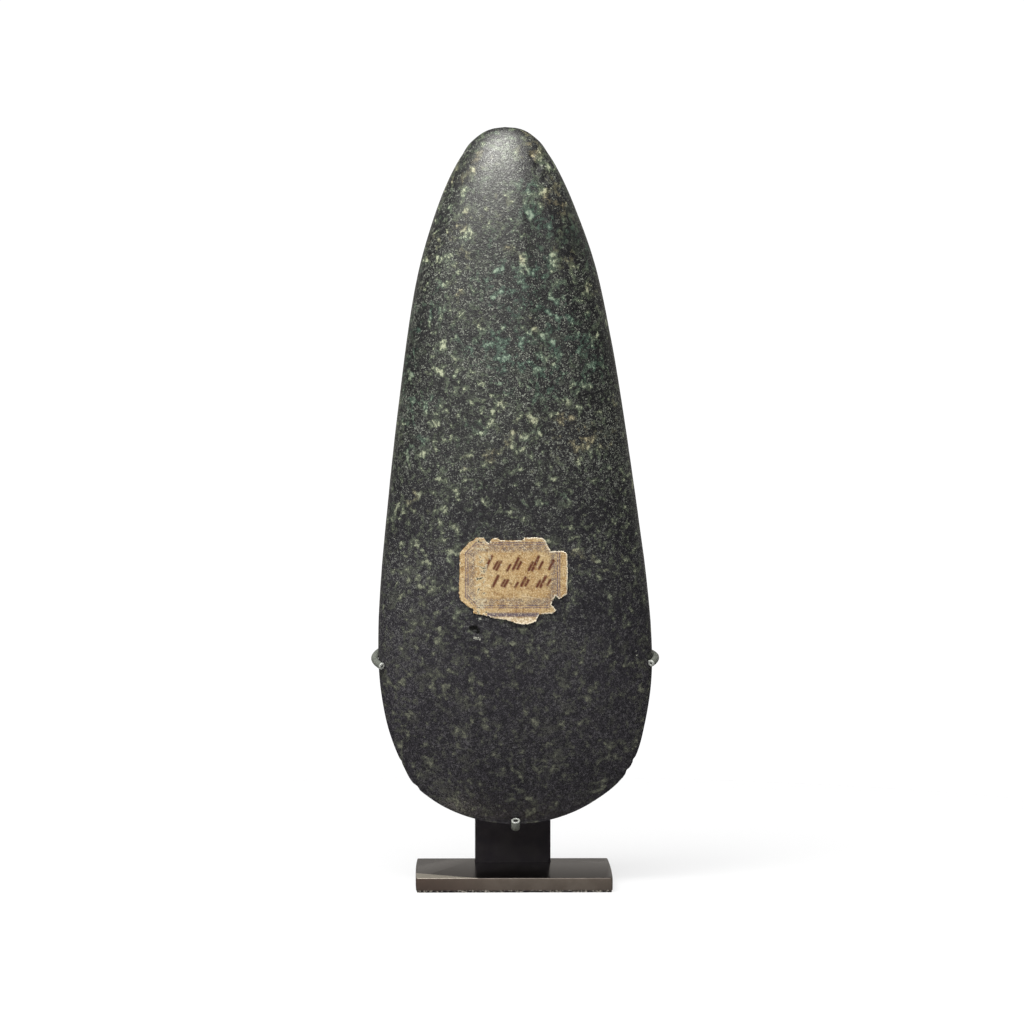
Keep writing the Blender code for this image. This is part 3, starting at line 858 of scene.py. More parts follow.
class Finish:
    """A material being made, with short ways to add nodes to it."""

    def __init__(self, name):
        self.made = new_material(name)
        self.tree = self.made.node_tree
        self.sockets = self.tree.nodes["Principled BSDF"].inputs
        self.place = self.node("ShaderNodeTexCoord", {}).outputs["Object"]

    def node(self, kind, inputs, **settings):
        """A node with settings. Its inputs are numbers or the outputs of other nodes."""
        made = self.tree.nodes.new(kind)
        for key, value in settings.items():
            setattr(made, key, value)
        for key, value in inputs.items():
            if isinstance(value, bpy.types.NodeSocket):
                self.tree.links.new(value, made.inputs[key])
            else:
                made.inputs[key].default_value = value
        return made

    def link(self, value, name):
        """Lets an output drive a value of the shader."""
        self.tree.links.new(value, self.sockets[name])

    def axes(self):
        """The coordinates of the place on the object, in metres."""
        parts = self.node("ShaderNodeSeparateXYZ", {"Vector": self.place})
        return parts.outputs[0], parts.outputs[1], parts.outputs[2]

    def noise_node(self, pattern, place=None):
        """Soft noise of a pattern, at the place on the object or at a moved one."""
        size, detail, roughness = pattern
        inputs = {"Vector": self.place if place is None else place, "Scale": 1 / size}
        inputs |= {"Detail": detail, "Roughness": roughness}
        return self.node("ShaderNodeTexNoise", inputs)

    def noise(self, pattern, place=None):
        """Soft noise from 0 to 1."""
        return self.noise_node(pattern, place).outputs["Fac"]

    def noises(self, table, place=None):
        """Noise for each pattern of a table, by name."""
        return {name: self.noise(pattern, place) for name, pattern in table.items()}

    def crystals(self, size):
        """For each crystal of about a given size, a random number and its middle."""
        cells = self.node("ShaderNodeTexVoronoi", {"Vector": self.place, "Scale": 1 / size})
        parts = self.node("ShaderNodeSeparateColor", {"Color": cells.outputs["Color"]})
        return parts.outputs["Red"], cells.outputs["Position"]

    def field(self, name):
        """A number stored on the vertices."""
        return self.node("ShaderNodeAttribute", {}, attribute_name=name).outputs["Fac"]

    def maths(self, operation, first, second):
        """A sum, product or other result of two numbers."""
        return self.node("ShaderNodeMath", {0: first, 1: second}, operation=operation).outputs[0]

    def vector_maths(self, operation, inputs):
        """The same for vectors."""
        return self.node("ShaderNodeVectorMath", inputs, operation=operation).outputs[0]

    def product(self, first, second):
        """The product of two numbers."""
        return self.maths("MULTIPLY", first, second)

    def weigh(self, weights, patterns):
        """The sum of patterns times their weights."""
        total = 0.0
        for name, weight in weights.items():
            total = self.maths("ADD", self.product(patterns[name], weight), total)
        return total

    def step(self, value, low, high, start=0.0, end=1.0):
        """Goes smoothly from start at low to end at high."""
        inputs = {"Value": value, "From Min": low, "From Max": high, "To Min": start, "To Max": end}
        made = self.node("ShaderNodeMapRange", inputs, interpolation_type="SMOOTHSTEP")
        return made.outputs["Result"]

    def mix(self, amount, first, second):
        """A mix of two colours, each an output or a plain colour."""
        inputs = {0: amount, 6: as_colour(first), 7: as_colour(second)}
        return self.node("ShaderNodeMix", inputs, data_type="RGBA").outputs[2]

    def bump(self, height, distance, strength, below=None):
        """A bumped normal from a height, over another normal or none."""
        inputs = {"Height": height, "Distance": distance, "Strength": strength}
        if below is not None:
            inputs["Normal"] = below
        return self.node("ShaderNodeBump", inputs).outputs["Normal"]


def as_colour(value):
    """A colour from sRGB numbers of 0 to 255, or an output as it is."""
    if isinstance(value, bpy.types.NodeSocket):
        return value
    linear = [
        v / 255 / 12.92 if v <= 10 else ((v / 255 + 0.055) / 1.055) ** 2.4 for v in value
    ]
    return (*linear, 1.0)


def stone_patterns(stone):
    """The patterns and zones of the stone by name."""
    small, middle = stone.crystals(SMALL_CRYSTAL)
    patterns = {"small": small, "large": stone.crystals(LARGE_CRYSTAL)[0]}
    patterns["upper"] = stone.step(stone.axes()[2], LOWER_END, UPPER_END)
    patterns |= stone.noises(PATTERNS_IN_CRYSTALS, middle)
    patterns |= stone.noises(SMOOTH_PATTERNS)
    patterns |= {name: stone.field(name) for name in COLOUR_ZONES}
    return patterns


def fleck_colour(stone, upper, cover, part):
    """The colour of the flecks' halos (part 0) or cores (part 1)."""
    colour = stone.mix(cover["teal"], PLAIN_FLECK[part], TEAL_FLECK[part])
    colour = stone.mix(cover["warm"], colour, WARM_FLECK[part])
    return stone.mix(upper, LOWER_FLECK[part], colour)


def stone_finish():
    """Satin-polished jadeite: a ground of tiny crystals from near black to pale grey with
    olive drifts, ragged green and tan flecks that gather in clouds, and a duller, more
    purple lower end."""
    stone = Finish("flecked_jadeite")
    patterns = stone_patterns(stone)
    upper, small = patterns["upper"], patterns["small"]
    cover = {}
    for name, (weights, low, high, most) in STONE_LAYERS.items():
        cover[name] = stone.step(stone.weigh(weights, patterns), low, high, 0.0, most)

    colour = stone.mix(cover["mid"], stone.mix(upper, *DARK_GROUND), stone.mix(upper, *MID_GROUND))
    colour = stone.mix(cover["light"], colour, stone.mix(upper, *LIGHT_GROUND))
    colour = stone.mix(cover["drift"], colour, stone.mix(upper, *DRIFT))
    colour = stone.mix(cover["halo"], colour, fleck_colour(stone, upper, cover, 0))
    colour = stone.mix(cover["core"], colour, fleck_colour(stone, upper, cover, 1))
    colour = stone.mix(cover["worn"], colour, WORN_STONE)
    # Painted shade: the deepest pits darken nearly to black
    colour = stone.mix(cover["pit_shade"], colour, PAINTED_PIT_SHADE)
    stone.link(colour, "Base Color")

    stone.link(stone.step(small, 0.0, 1.0, *STONE_ROUGHNESS), "Roughness")
    strength = stone.step(upper, 0.0, 1.0, *GRAIN_STRENGTH)
    stone.link(stone.bump(stone.noise(GRAIN), GRAIN_DEPTH, strength), "Normal")
    stone.sockets["Specular IOR Level"].default_value = STONE_SPECULAR
    stone.sockets["Specular Tint"].default_value = STONE_SPECULAR_TINT
    return stone.made


def label_outline_points():
    """The torn outline in metres, with small tears between its corners."""
    corners = [Vector((LABEL_WIDTH * u, LABEL_HEIGHT * v)) for u, v in LABEL_OUTLINE]
    points = []
    for start, end in zip(corners, corners[1:] + corners[:1]):
        along = end - start
        steps = max(2, round(along.length / LABEL_TEAR_STEP))
        sideways = Vector((-along.y, along.x)).normalized()
        for i in range(steps):
            point = start + along * (i / steps)
            tear = noise.noise(Vector((point.x, point.y, 0)) / LABEL_TEAR_SIZE)
            points.append(point + sideways * tear * LABEL_TEAR_DEPTH)
    return np.array([tuple(p) for p in points])


def inside_outline(points, outline):
    """Which points lie inside a closed outline."""
    inside = np.zeros(len(points), bool)
    for start, end in zip(outline, np.roll(outline, -1, axis=0)):
        spans = (start[1] > points[:, 1]) != (end[1] > points[:, 1])
        if not spans.any():
            continue
        along = end - start
        crossing = start[0] + (points[:, 1] - start[1]) * along[0] / along[1]
        inside ^= spans & (points[:, 0] < crossing)
    return inside


def distance_to_segment(points, start, end):
    """The distance of points from one straight stretch."""
    along = end - start
    share = np.clip((points - start) @ along / max(along @ along, 1e-12), 0, 1)
    return np.linalg.norm(points - start - share[:, None] * along, axis=1)


def distance_to_outline(points, outline):
    """The distance of points from a closed outline."""
    nearest = np.full(len(points), 1.0)
    for start, end in zip(outline, np.roll(outline, -1, axis=0)):
        nearest = np.minimum(nearest, distance_to_segment(points, start, end))
    return nearest


def label_sheet(outline):
    """Flat points and triangles that fill the torn outline closely."""
    across = np.arange(-LABEL_WIDTH / 2, LABEL_WIDTH / 2, LABEL_SPACING)
    up = np.arange(-LABEL_HEIGHT / 2, LABEL_HEIGHT / 2, LABEL_SPACING)
    grid = np.array([(x, z) for z in up for x in across])
    grid = grid[inside_outline(grid, outline)]
    grid = grid[distance_to_outline(grid, outline) > LABEL_EDGE_MARGIN]
    points = [Vector(p) for p in np.vstack([outline, grid])]
    count = len(outline)
    edges = [(i, (i + 1) % count) for i in range(count)]
    flat, _, faces, _, _, _ = delaunay_2d_cdt(points, edges, [], 1, LABEL_MERGE_DISTANCE)
    return np.array([tuple(p) for p in flat]), [tuple(f) for f in faces]


def border_distance(points):
    """The signed distance from the printed line, a rectangle with clipped corners."""
    away = np.abs(points - np.array(BORDER_CENTRE))
    over = away - np.array(BORDER_HALF)
    clipped = (away.sum(axis=1) - sum(BORDER_HALF) + BORDER_CORNER) / math.sqrt(2)
    return np.maximum(over.max(axis=1), clipped)


def soft_line(distance, half_width):
    """1 on a line, falling to 0 over its own softness."""
    return np.clip(1.5 - np.abs(distance) / half_width, 0, 1)


def ink_strokes():
    """The slanting strokes of the ink rows, as start and end points and widths."""
    strokes = []
    for left, right, foot, full, count in INK_ROWS:
        for i in range(count):
            share = INK_STROKE_SHARES[i % len(INK_STROKE_SHARES)]
            x = left + (right - left) * (i + INK_SIDE_WANDER * math.sin(2.3 * i)) / (count - 1)
            rise = full * share
            start = np.array((x, foot + INK_FOOT_WANDER * math.sin(1.7 * i)))
            end = start + np.array((rise * INK_SLANT + INK_LEAST_SLANT, rise))
            strokes.append((start, end, INK_HALF_WIDTH * (0.85 + 0.3 * share)))
    return strokes


def ink_field(points):
    """How much ink lies at points."""
    ink = np.zeros(len(points))
    for start, end, half_width in ink_strokes():
        distance = distance_to_segment(points, start, end)
        ink = np.maximum(ink, np.clip(1.6 - distance / half_width, 0, 1))
    return ink


def label_lift(flat, edge):
    """How far the paper stands off the stone: curled at its edges, lifted at the lower flap."""
    spots = np.column_stack([flat, np.zeros(len(flat))])
    curl = LABEL_CURL * np.exp(-edge / LABEL_CURL_REACH)
    curl *= np.clip(0.6 + wave(spots, LABEL_CURL_SIZE), 0, 1.6)
    flap = np.clip((FLAP_TOP - flat[:, 1]) / (LABEL_HEIGHT / 2 + FLAP_TOP), 0, 1.2)
    waves = sum(depth * wave(spots, size) for size, depth in LABEL_WAVES)
    return LABEL_GAP + curl + LABEL_FLAP_LIFT * flap**LABEL_FLAP_POWER + waves


def label_mesh(flat, faces, edge):
    """The flat sheet laid on the stone's front, curled at its edges."""
    x, z = (flat + np.array(LABEL_CENTRE)).T
    y = stone_front_y(x, z) + SURFACE_INSET - label_lift(flat, edge)
    mesh = bpy.data.meshes.new("paper_label_sheet")
    mesh.from_pydata(list(zip(x, y, z)), [], faces)
    shape = bmesh.new()
    shape.from_mesh(mesh)
    bmesh.ops.recalc_face_normals(shape, faces=shape.faces)
    if sum(face.normal.y for face in shape.faces) > 0:
        bmesh.ops.reverse_faces(shape, faces=shape.faces)
    shape.to_mesh(mesh)
    shape.free()
    mesh.shade_smooth()
    return mesh


def label_fields(flat, edge):
    """What is printed on the paper and where it is worn, by name."""
    across, up = flat[:, 0], flat[:, 1]
    border = border_distance(flat)
    lines = [soft_line(border + inset, BORDER_LINE_HALF) for inset in BORDER_LINE_INSETS]
    middle, swing = HATCH_TONE
    ticks = middle + swing * np.sin(2 * np.pi * (across + up) / HATCH_SPACING)
    stain = np.zeros(len(flat))
    for *spot, strength in STAINS:
        stain_x, stain_y, radius = np.array(spot) * MM
        distance = np.hypot(across - stain_x, up - stain_y)
        stain += strength * np.exp(-((distance / radius) ** 2))
    crease = distance_to_segment(flat, *np.array(CREASE))
    in_stripe = (across > STRIPE_SPAN[0]) & (across < STRIPE_SPAN[1])
    return {
        "border_line": np.max(lines, axis=0),
        "border_band": soft_line(border + BORDER_BAND_INSET, BORDER_BAND_HALF) * ticks,
        "stripe": soft_line(up - STRIPE_HEIGHT, STRIPE_HALF) * in_stripe,
        "ink": ink_field(flat),
        "stain": stain,
        "crease": soft_line(crease, CREASE_HALF),
        "bare_ply": np.clip((FLAP_TOP - up) / BARE_PLY_SOFTNESS, 0, 1),
        "rim": np.exp(-edge / RIM_REACH),
        "fringe": np.clip(1 - edge / FRINGE_REACH, 0, 1),
        "left_wear": np.exp(-(((across - LEFT_WEAR_X) / LEFT_WEAR_HALF) ** 2)),
        "rightward": across / (LABEL_WIDTH / 2),
    }


def make_label():
    """Torn printed paper glued to the front of the stone."""
    outline = label_outline_points()
    flat, faces = label_sheet(outline)
    edge = distance_to_outline(flat, outline)
    mesh = label_mesh(flat, faces, edge)
    for name, values in label_fields(flat, edge).items():
        set_field(mesh, name, values)
    label = shown_piece("paper_label_sheet", mesh, paper_finish(), "paper_label")
    skin = label.modifiers.new("paper_thickness", "SOLIDIFY")
    skin.thickness = LABEL_THICKNESS
    skin.offset = 1


def paper_flakes(paper):
    """Noise on a place that noise pushes about, for flakes with ragged outlines."""
    push = paper.noise_node(FLAKE_PUSH).outputs["Color"]
    push = paper.vector_maths("SUBTRACT", {0: push, 1: (0.5, 0.5, 0.5)})
    push = paper.vector_maths("SCALE", {0: push, "Scale": FLAKE_PUSH_REACH})
    return paper.noise(FLAKES, paper.vector_maths("ADD", {0: paper.place, 1: push}))


def paper_finish():
    """Aged tan paper with a worn printed border, faded ink and a pale torn ply."""
    paper = Finish("aged_paper")
    patterns = paper.noises(PAPER_PATTERNS)
    patterns |= {name: paper.field(name) for name in ("rightward", "left_wear")}
    patterns["flakes"] = paper_flakes(paper)
    patterns["rubbed_rim"] = paper.product(paper.field("rim"), patterns["blotch"])
    patterns["bared"] = paper.weigh({"scuff": 1.0, "rightward": 0.10}, patterns)
    patterns["flaking"] = paper.weigh({"flakes": 1.0, "left_wear": 0.17}, patterns)

    tone = paper.weigh({"blotch": 1.0, "rightward": -0.07}, patterns)
    colour = paper.mix(paper.step(tone, 0.35, 0.65), *PAPER_TAN)
    ply = paper.mix(paper.step(patterns["flakes"], 0.40, 0.60), *TORN_PLY)
    for name, most, layer_colour, steps in PAPER_LAYERS:
        cover = most
        if name is not None:
            cover = paper.product(paper.field(name), most)
        for pattern, *levels in steps:
            cover = paper.product(paper.step(patterns[pattern], *levels), cover)
        colour = paper.mix(cover, colour, layer_colour or ply)
    paper.link(colour, "Base Color")

    paper.sockets["Roughness"].default_value = PAPER_ROUGHNESS
    paper.sockets["Specular IOR Level"].default_value = PAPER_SPECULAR
    wrinkles = paper.bump(patterns["flakes"], *PAPER_WRINKLES)
    paper.link(paper.bump(patterns["fibre"], *PAPER_FIBRES, wrinkles), "Normal")
    return paper.made


def plate_ring(low, high, inset, height):
    """One level of the plate: a rectangle with rounded corners and slightly bowed ends."""
    middle, half = (low + high) / 2, (high - low) / 2
    corner = max(BASE_CORNER - inset, BASE_LEAST_CORNER)
    arcs = []
    for turn, (sign_x, sign_y) in enumerate(((1, 1), (-1, 1), (-1, -1), (1, -1))):
        angles = math.pi / 2 * (turn + np.arange(BASE_CORNER_STEPS + 1) / BASE_CORNER_STEPS)
        x = sign_x * (half.x - inset - corner) + corner * np.cos(angles)
        y = sign_y * (half.y - inset - corner) + corner * np.sin(angles)
        arcs.append(np.column_stack([x, y]))
    points = []
    for turn, steps in enumerate(BASE_SIDE_STEPS):
        start, end = arcs[turn][-1], arcs[(turn + 1) % 4][0]
        shares = np.arange(1, steps)[:, None] / steps
        points += [arcs[turn], start + (end - start) * shares]
    ring = []
    for x, y in np.vstack(points):
        bow = BASE_BOW * (1 - (y / half.y) ** 2) * (abs(x) / half.x) ** 8
        ring.append(Vector((middle.x + x + math.copysign(bow, x), middle.y + y, height)))
    return ring


def make_base():
    """The patinated plate, a little worn round its edges, with a slot for the post."""
    low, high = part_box("base_plate")
    shape = bmesh.new()
    rings = []
    for height, inset, wear in BASE_LEVELS:
        ring = []
        for point in plate_ring(low, high, inset * MM, low.z + height * MM):
            chip = max(noise.noise(point / BASE_CHIP_SIZE) + 0.1, 0) * wear * MM
            inward = Vector((-point.x, -point.y, 0)).normalized() * chip
            ring.append(shape.verts.new(point + inward))
        rings.append(ring)
    for lower, upper in zip(rings, rings[1:]):
        for i in range(len(lower)):
            beside = (i + 1) % len(lower)
            shape.faces.new((lower[i], lower[beside], upper[beside], upper[i]))
    shape.faces.new(reversed(rings[0]))
    shape.faces.new(rings[-1])
    mesh = finished_mesh("base_plate_worn", shape)
    mesh.shade_smooth()
    mesh.set_sharp_from_angle(angle=BASE_SHARP_ANGLE)
    finish = bronze_finish()
    plate = shown_piece("base_plate_worn", mesh, finish, "base_plate")
    cut_post_slot(plate)


def cut_post_slot(plate):
    """Cuts the slot that the post stands in."""
    low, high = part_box("post")
    low = low - Vector((BASE_SLOT_CLEARANCE, BASE_SLOT_CLEARANCE, 0))
    high = high + Vector((BASE_SLOT_CLEARANCE, BASE_SLOT_CLEARANCE, 0))
    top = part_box("base_plate")[1].z
    low.z, high.z = top - BASE_POST_SINK, top + BASE_POST_SINK
    shape = bmesh.new()
    bmesh.ops.create_cube(shape, size=1.0)
    bmesh.ops.scale(shape, vec=high - low, verts=shape.verts)
    bmesh.ops.translate(shape, vec=(low + high) / 2, verts=shape.verts)
    cutter = scene_object("slot", finished_mesh("slot", shape))
    slot = plate.modifiers.new("slot", "BOOLEAN")
    slot.object = cutter
    slot.operation = "DIFFERENCE"
    graph = bpy.context.evaluated_depsgraph_get()
    cut_mesh = bpy.data.meshes.new_from_object(plate.evaluated_get(graph))
    plate.modifiers.remove(slot)
    bpy.data.objects.remove(cutter)
    plate.data = cut_mesh


def bronze_finish():
    """Brown patinated bronze: a dark mirror-like top and brown satin sides, darker towards the
    left end in painted shade, with pale rubbed chips along the lower front edge and a painted pale
    reflection in a wedge on the top's front left, where the top is also rougher and less metallic."""
    bronze = Finish("brown_bronze")
    low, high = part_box("base_plate")
    across, depth, height = bronze.axes()
    patterns = bronze.noises(BRONZE_PATTERNS)

    on_top = bronze.step(height, high.z - 0.12 * MM, high.z - 0.04 * MM)
    from_left = bronze.maths("SUBTRACT", across, low.x)
    # Painted shade: the sides darken towards the plate's left end
    side = bronze.mix(bronze.step(from_left, 0.0, BASE_LIT_REACH), *BRONZE_SIDE)
    clouded = bronze.step(patterns["cloud"], 0.40, 0.62, 0.0, 0.5)
    side = bronze.mix(clouded, side, BRONZE_CLOUD)
    colour = bronze.mix(on_top, side, BRONZE_TOP)
    foot = bronze.step(height, BASE_FOOT_LINE * 1.15, BASE_FOOT_LINE * 0.85)
    colour = bronze.mix(foot, colour, BRONZE_FOOT)

    patterns["low_down"] = bronze.step(height, BASE_CHIP_TOP, BASE_CHIP_FOOT)
    chips = bronze.step(bronze.weigh(CHIP_WEIGHTS, patterns), 0.87, 0.93, 0.0, 0.85)
    chips = bronze.product(chips, patterns["low_down"])
    colour = bronze.mix(chips, colour, BRONZE_CHIP)

    # Painted reflection: a pale wedge on the top's front left, also made rougher and less metallic
    # like a satin rub
    wedge_back = bronze.maths("SUBTRACT", WEDGE_DEPTH, bronze.product(from_left, WEDGE_SLOPE))
    from_front = bronze.maths("SUBTRACT", depth, low.y + WEDGE_FRONT)
    inside = bronze.maths("SUBTRACT", wedge_back, from_front)
    wedge = bronze.product(bronze.step(inside, 0.0, WEDGE_SOFTNESS, 0.0, 0.6), on_top)
    colour = bronze.mix(wedge, colour, BRONZE_PAINTED_REFLECTION)
    bronze.link(colour, "Base Color")

    metal = bronze.step(on_top, 0.0, 1.0, *BRONZE_METALLIC)
    metal = bronze.maths("SUBTRACT", metal, bronze.product(wedge, 0.5))
    bronze.link(metal, "Metallic")
    rough = bronze.step(on_top, 0.0, 1.0, *BRONZE_ROUGHNESS)
    rough = bronze.maths("ADD", rough, bronze.product(wedge, 0.4))
    uneven = bronze.step(patterns["mottle"], 0.2, 0.8, 0.0, 0.06)
    bronze.link(bronze.maths("ADD", rough, uneven), "Roughness")
    waves = bronze.bump(patterns["cloud"], *BRONZE_WAVES)
    bronze.link(bronze.bump(patterns["fine"], *BRONZE_GRAIN, waves), "Normal")
    return bronze.made


def blackened_finish():
    """Near-black patinated metal, satin, with rubbed brown lights."""
    black = Finish("blackened_metal")
    cloud = black.noise(BLACKENED_CLOUD)
    fine = black.noise(BLACKENED_GRAIN)
    colour = black.mix(black.step(cloud, 0.35, 0.7), *BLACKENED)
    colour = black.mix(black.step(fine, 0.62, 0.78, 0.0, 0.5), colour, BLACKENED_RUBBED)
    black.link(colour, "Base Color")
    black.link(black.step(fine, 0.2, 0.8, *BLACKENED_ROUGHNESS), "Roughness")
    black.link(black.bump(fine, 0.01 * MM, 0.5), "Normal")
    black.sockets["Metallic"].default_value = BLACKENED_METALLIC
    return black.made


def tubing_finish():
    """Grey-green translucent tubing, a little cloudy, with a painted highlight on the rounded rim
    of its open end.
    """
    tubing = Finish("cloudy_tubing")
    haze = tubing.noise(TUBING_HAZE)
    colour = tubing.mix(tubing.step(haze, 0.35, 0.65), *TUBING)
    # Painted highlight on the rim at the open end
    tubing.link(tubing.mix(tubing.field("painted_rim_glint"), colour, TUBING_PAINTED_GLINT), "Base Color")
    tubing.link(tubing.step(haze, 0.3, 0.7, *TUBING_ROUGHNESS), "Roughness")
    tubing.sockets["Transmission Weight"].default_value = TUBING_TRANSMISSION
    tubing.sockets["IOR"].default_value = TUBING_IOR
    return tubing.made


def beside_stone(share, angle, distance):
    """A point at a distance straight out from the stone's surface."""
    step = SURFACE_STEP
    along = stone_surface(share + step, angle) - stone_surface(share - step, angle)
    around_it = stone_surface(share, angle + step) - stone_surface(share, angle - step)
    outward = unit(np.cross(along, around_it))
    if outward[0] * math.cos(angle) + outward[1] * math.sin(angle) < 0:
        outward = -outward
    return stone_surface(share, angle) + outward * distance


def curve_length(points):
    """The length of a curve through points."""
    return np.linalg.norm(np.diff(points, axis=0), axis=1).sum()


def along_curve(points, start, end, count):
    """Evenly spaced points between two lengths along a curve."""
    steps = np.linalg.norm(np.diff(points, axis=0), axis=1)
    reached = np.concatenate([[0.0], np.cumsum(steps)])
    wanted = np.linspace(start, end, count)
    return np.column_stack([np.interp(wanted, reached, points[:, i]) for i in range(3)])


def hook_curve(side):
    """The middle line of a hook round the stone, from behind it to the tip in front."""
    left = side == "left"
    tip = LEFT_HOOK_TIP_ANGLE if left else RIGHT_HOOK_TIP_ANGLE
    lift = LEFT_HOOK_LIFT if left else RIGHT_HOOK_LIFT
    points = []
    for angle in np.linspace(HOOK_BACK_ANGLE, tip, ROD_STATIONS):
        height = HOOK_EDGE_HEIGHT - HOOK_DROP * (angle - math.pi) / HOOK_DROP_ANGLE
        height += float(smooth_value(lift, angle))
        share = 1 - (height - STONE_EDGE_HEIGHT) / STONE_LENGTH
        turned = angle if left else math.pi - angle
        points.append(beside_stone(share, turned, HOOK_STAND_OFF))
    return np.array(points)


def rod_path(side):
    """The middle line of a hook's rod, from inside the post to just short of the tip."""
    curve = hook_curve(side)
    sign = -1 if side == "left" else 1
    low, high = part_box("post")
    height = HOOK_EDGE_HEIGHT + HOOK_DROP * (math.pi - HOOK_BACK_ANGLE) / HOOK_DROP_ANGLE
    mouth = np.array((sign * high.x, (low.y + high.y) / 2, height))
    inner = mouth - np.array((sign * HOOK_SOCKET_DEPTH, 0, 0))
    handle = curve_length(np.array((mouth, curve[0]))) / 3
    leave = mouth + np.array((sign * handle, 0, 0))
    arrive = curve[0] + unit(curve[0] - curve[1]) * handle
    bend = []
    for t in np.linspace(0, 1, BEND_STATIONS):
        s = 1 - t
        pulled = leave * 3 * s * s * t + arrive * 3 * s * t * t
        bend.append(mouth * s**3 + pulled + curve[0] * t**3)
    whole = np.vstack([inner, bend, curve[1:]])
    return along_curve(whole, 0, curve_length(whole) - HOOK_ROD_RECESS, ROD_STATIONS)


def tubing_path(side):
    """The middle line of a hook's tubing, its last stretch up to the tip."""
    curve = hook_curve(side)
    length = curve_length(curve)
    return along_curve(curve, length - HOOK_TUBE_LENGTH, length, TUBE_STATIONS)


def prong_path():
    """The middle line of the prong's tubing, from the bend up to the open top."""
    points = []
    for turn in np.linspace(PRONG_BEND_TURN, 0, PRONG_STATIONS[0]):
        y = PRONG_Y + PRONG_BEND_RADIUS * (1 - math.cos(turn))
        points.append((PRONG_X, y, PRONG_BEND_TOP - PRONG_BEND_RADIUS * math.sin(turn)))
    wall = (PRONG_TUBE_RADIUS - PRONG_TUBE_BORE) / 2
    for rise in np.linspace(0, 1, PRONG_STATIONS[1])[1:]:
        y = PRONG_Y - PRONG_TUBE_LEAN * rise**2
        height = PRONG_BEND_TOP + (PRONG_TUBE_TOP - wall - PRONG_BEND_TOP) * rise
        points.append((PRONG_X, y, height))
    points = np.array(points)
    return along_curve(points, 0, curve_length(points), TUBE_STATIONS)


def swept_points(path, rings):
    """Circles of points round a path, each ring as its station on the path, how far it
    lies ahead of it, and its radius."""
    tangents = np.gradient(path, axis=0)
    tangents /= np.linalg.norm(tangents, axis=1)[:, None]
    sides = []
    side = np.cross(tangents[0], (0.3, 0.2, 0.9))
    for tangent in tangents:
        side = unit(side - tangent * (side @ tangent))
        sides.append(side)
    points = []
    for i, ahead, reach in rings:
        upward = np.cross(tangents[i], sides[i])
        for turn in 2 * np.pi * np.arange(TUBE_COLUMNS) / TUBE_COLUMNS:
            outward = sides[i] * math.cos(turn) + upward * math.sin(turn)
            points.append(path[i] + tangents[i] * ahead + outward * reach)
    return points


def rod_mesh(name, path, radius):
    """A round rod along a path, with a slightly rounded end."""
    edge = ROD_EDGE_SHARE * radius
    last = len(path) - 1
    rings = [(i, 0.0, radius) for i in range(last + 1)]
    rings += [(last, edge * math.sin(a), radius - edge * (1 - math.cos(a))) for a in ROD_RIM]
    points = [path[0]] + swept_points(path, rings)
    points.append(path[-1] + unit(path[-1] - path[-2]) * edge)
    return grid_mesh(name, points, len(rings), TUBE_COLUMNS)


def tube_mesh(name, path, radius, bore, mouth):
    """A tube along a path, with rounded rims and an open bore that narrows to a mouth."""
    rim = np.pi * np.arange(1, TUBE_RIM_STEPS) / TUBE_RIM_STEPS
    last = len(path) - 1
    lip = max(1, round(TUBE_MOUTH_LENGTH / curve_length(path) * last))
    rings = [(i, 0.0, radius) for i in range(last + 1)]
    wall, middle = (radius - mouth) / 2, (radius + mouth) / 2
    rings += [(last, wall * math.sin(a), middle + wall * math.cos(a)) for a in rim]
    rings += [(i, 0.0, mouth if i > last - lip else bore) for i in range(last, -1, -1)]
    wall, middle = (radius - bore) / 2, (radius + bore) / 2
    rings += [(0, -wall * math.sin(a), middle - wall * math.cos(a)) for a in rim]
    points = swept_points(path, rings)
    faces = []
    for ring in range(len(rings)):
        here, there = ring * TUBE_COLUMNS, (ring + 1) % len(rings) * TUBE_COLUMNS
        for column in range(TUBE_COLUMNS):
            beside = (column + 1) % TUBE_COLUMNS
            faces.append((here + column, here + beside, there + beside, there + column))
    mesh = smooth_mesh(name, points, faces)
    # Painted highlight: the rings of the rounded rim at the open end are marked to be paler
    glint_rings = [float(last <= i <= last + TUBE_RIM_STEPS) for i in range(len(rings))]
    set_field(mesh, "painted_rim_glint", np.repeat(glint_rings, TUBE_COLUMNS))
    return mesh


def make_hooks(black):
    """The bent rods at the sides, and short tubes over their tips and over the prong's."""
    clear = tubing_finish()
    for side in ("left", "right"):
        mesh = rod_mesh(side + "_hook_rod", rod_path(side), HOOK_ROD_RADIUS)
        shown_piece(side + "_hook_rod", mesh, black, side + "_arm")
        name = side + "_hook_tubing"
        path = tubing_path(side)
        mesh = tube_mesh(name, path, HOOK_TUBE_RADIUS, HOOK_TUBE_BORE, HOOK_TUBE_MOUTH)
        shown_piece(name, mesh, clear, side + "_sleeve")
    path = prong_path()
    mesh = tube_mesh(
        "prong_tubing", path, PRONG_TUBE_RADIUS, PRONG_TUBE_BORE, PRONG_TUBE_MOUTH
    )
    shown_piece("prong_tubing", mesh, clear, "bottom_sleeve")


def dress_node(name, finish, rounded):
    """Gives a CAD node its finish, and smooths a round one without moving its points."""
    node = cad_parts[name]
    node.data.materials.clear()
    node.data.materials.append(finish)
    weld = node.modifiers.new("weld", "WELD")
    weld.merge_threshold = WELD_DISTANCE
    if rounded:
        smooth = node.modifiers.new("round", "SUBSURF")
        smooth.levels = ROD_SMOOTHING
        smooth.render_levels = ROD_SMOOTHING


def dress_stand():
    """The post, the prong and the hooks with their finishes."""
    black = blackened_finish()
    dress_node("post", black, rounded=False)
    dress_node("bottom_prong", black, rounded=True)
    make_hooks(black)


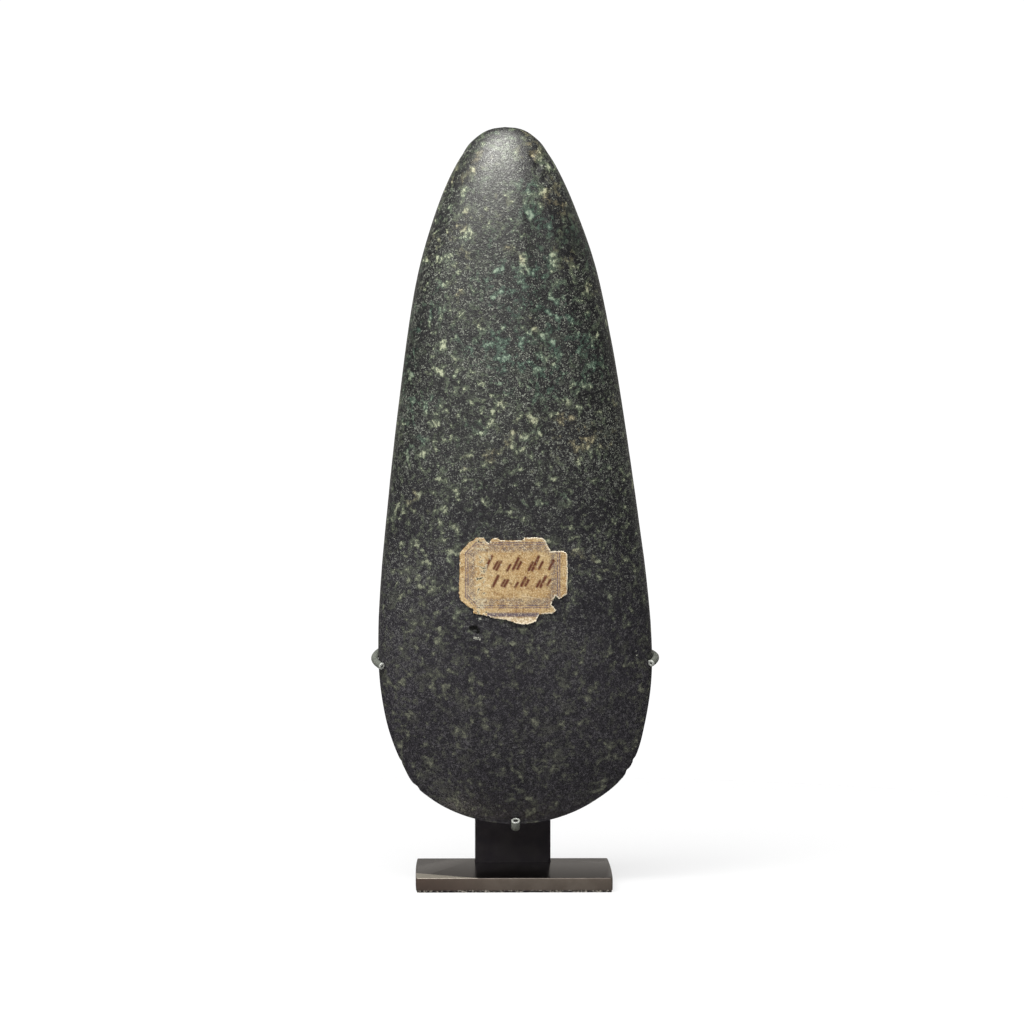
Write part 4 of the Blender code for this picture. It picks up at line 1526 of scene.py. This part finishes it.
def stage_object(name, shape, colour, glow):
    """A piece of the stage with a plain pale finish."""
    piece = scene_object(name, finished_mesh(name, shape))
    finish = new_material(name)
    sockets = finish.node_tree.nodes["Principled BSDF"].inputs
    sockets["Base Color"].default_value = (*colour, 1.0)
    sockets["Roughness"].default_value = 1.0
    sockets["Specular IOR Level"].default_value = 0.0
    sockets["Emission Color"].default_value = (1, 1, 1, 1)
    sockets["Emission Strength"].default_value = glow
    piece.data.materials.append(finish)
    return piece


def make_stage():
    """A pale floor, and a white surround that only the camera sees."""
    disc = bmesh.new()
    bmesh.ops.create_circle(disc, cap_ends=True, segments=96, radius=FLOOR_RADIUS)
    floor = stage_object("floor", disc, FLOOR_COLOUR, FLOOR_GLOW)
    floor.visible_glossy = False
    dome = bmesh.new()
    bmesh.ops.create_uvsphere(dome, u_segments=48, v_segments=24, radius=DOME_RADIUS)
    surround = stage_object("surround", dome, (0, 0, 0), DOME_GLOW)
    surround.visible_diffuse = False
    surround.visible_glossy = False
    surround.visible_shadow = False


def around(azimuth, elevation, distance, target):
    """A place at an angle left of the front and above the floor, as seen from a target."""
    azimuth, elevation = math.radians(azimuth), math.radians(elevation)
    forward = math.cos(azimuth) * math.cos(elevation)
    leftward = math.sin(azimuth) * math.cos(elevation)
    return Vector(target) + Vector((-leftward, -forward, math.sin(elevation))) * distance


def add_light(name, kind, energy, place, aim):
    """A light at a place, turned to the point that it is aimed at."""
    data = bpy.data.lights.new(name, kind)
    data.energy = energy
    light = scene_object(name, data)
    light.location = place
    light.rotation_mode = "QUATERNION"
    light.rotation_quaternion = (Vector(aim) - place).to_track_quat("-Z", "Y")
    light.visible_camera = False
    return data


def make_lights():
    """A soft key from the front left, broad lights above and at the left, weak ones behind,
    and a faint even world."""
    key = add_light("key", "SUN", KEY_STRENGTH, around(*KEY_ANGLES, 2, KEY_AIM), KEY_AIM)
    key.angle = KEY_SPREAD
    for name, power, azimuth, elevation, distance, size in SOFT_LIGHTS:
        place = around(azimuth, elevation, distance, SOFT_AIM)
        light = add_light(name, "AREA", power, place, SOFT_AIM)
        light.shape = "RECTANGLE"
        light.size, light.size_y = size
        if name == "behind":
            light.color = BEHIND_COLOUR
    world = bpy.data.worlds.new("studio")
    world.use_nodes = True
    background = world.node_tree.nodes["Background"]
    background.inputs["Color"].default_value = (1, 1, 1, 1)
    background.inputs["Strength"].default_value = WORLD_STRENGTH
    bpy.context.scene.world = world


def make_camera():
    """The photograph's view."""
    data = bpy.data.cameras.new("camera")
    data.lens = CAMERA_LENS
    data.sensor_width = CAMERA_SENSOR
    camera = scene_object("camera", data)
    camera.location = CAMERA_PLACE
    camera.rotation_euler = (CAMERA_TILT, 0, CAMERA_TURN)
    bpy.context.scene.camera = camera


bpy.context.scene.view_settings.view_transform = "Standard"
make_camera()
make_stage()
make_lights()
make_stone()
make_label()
make_base()
dress_stand()
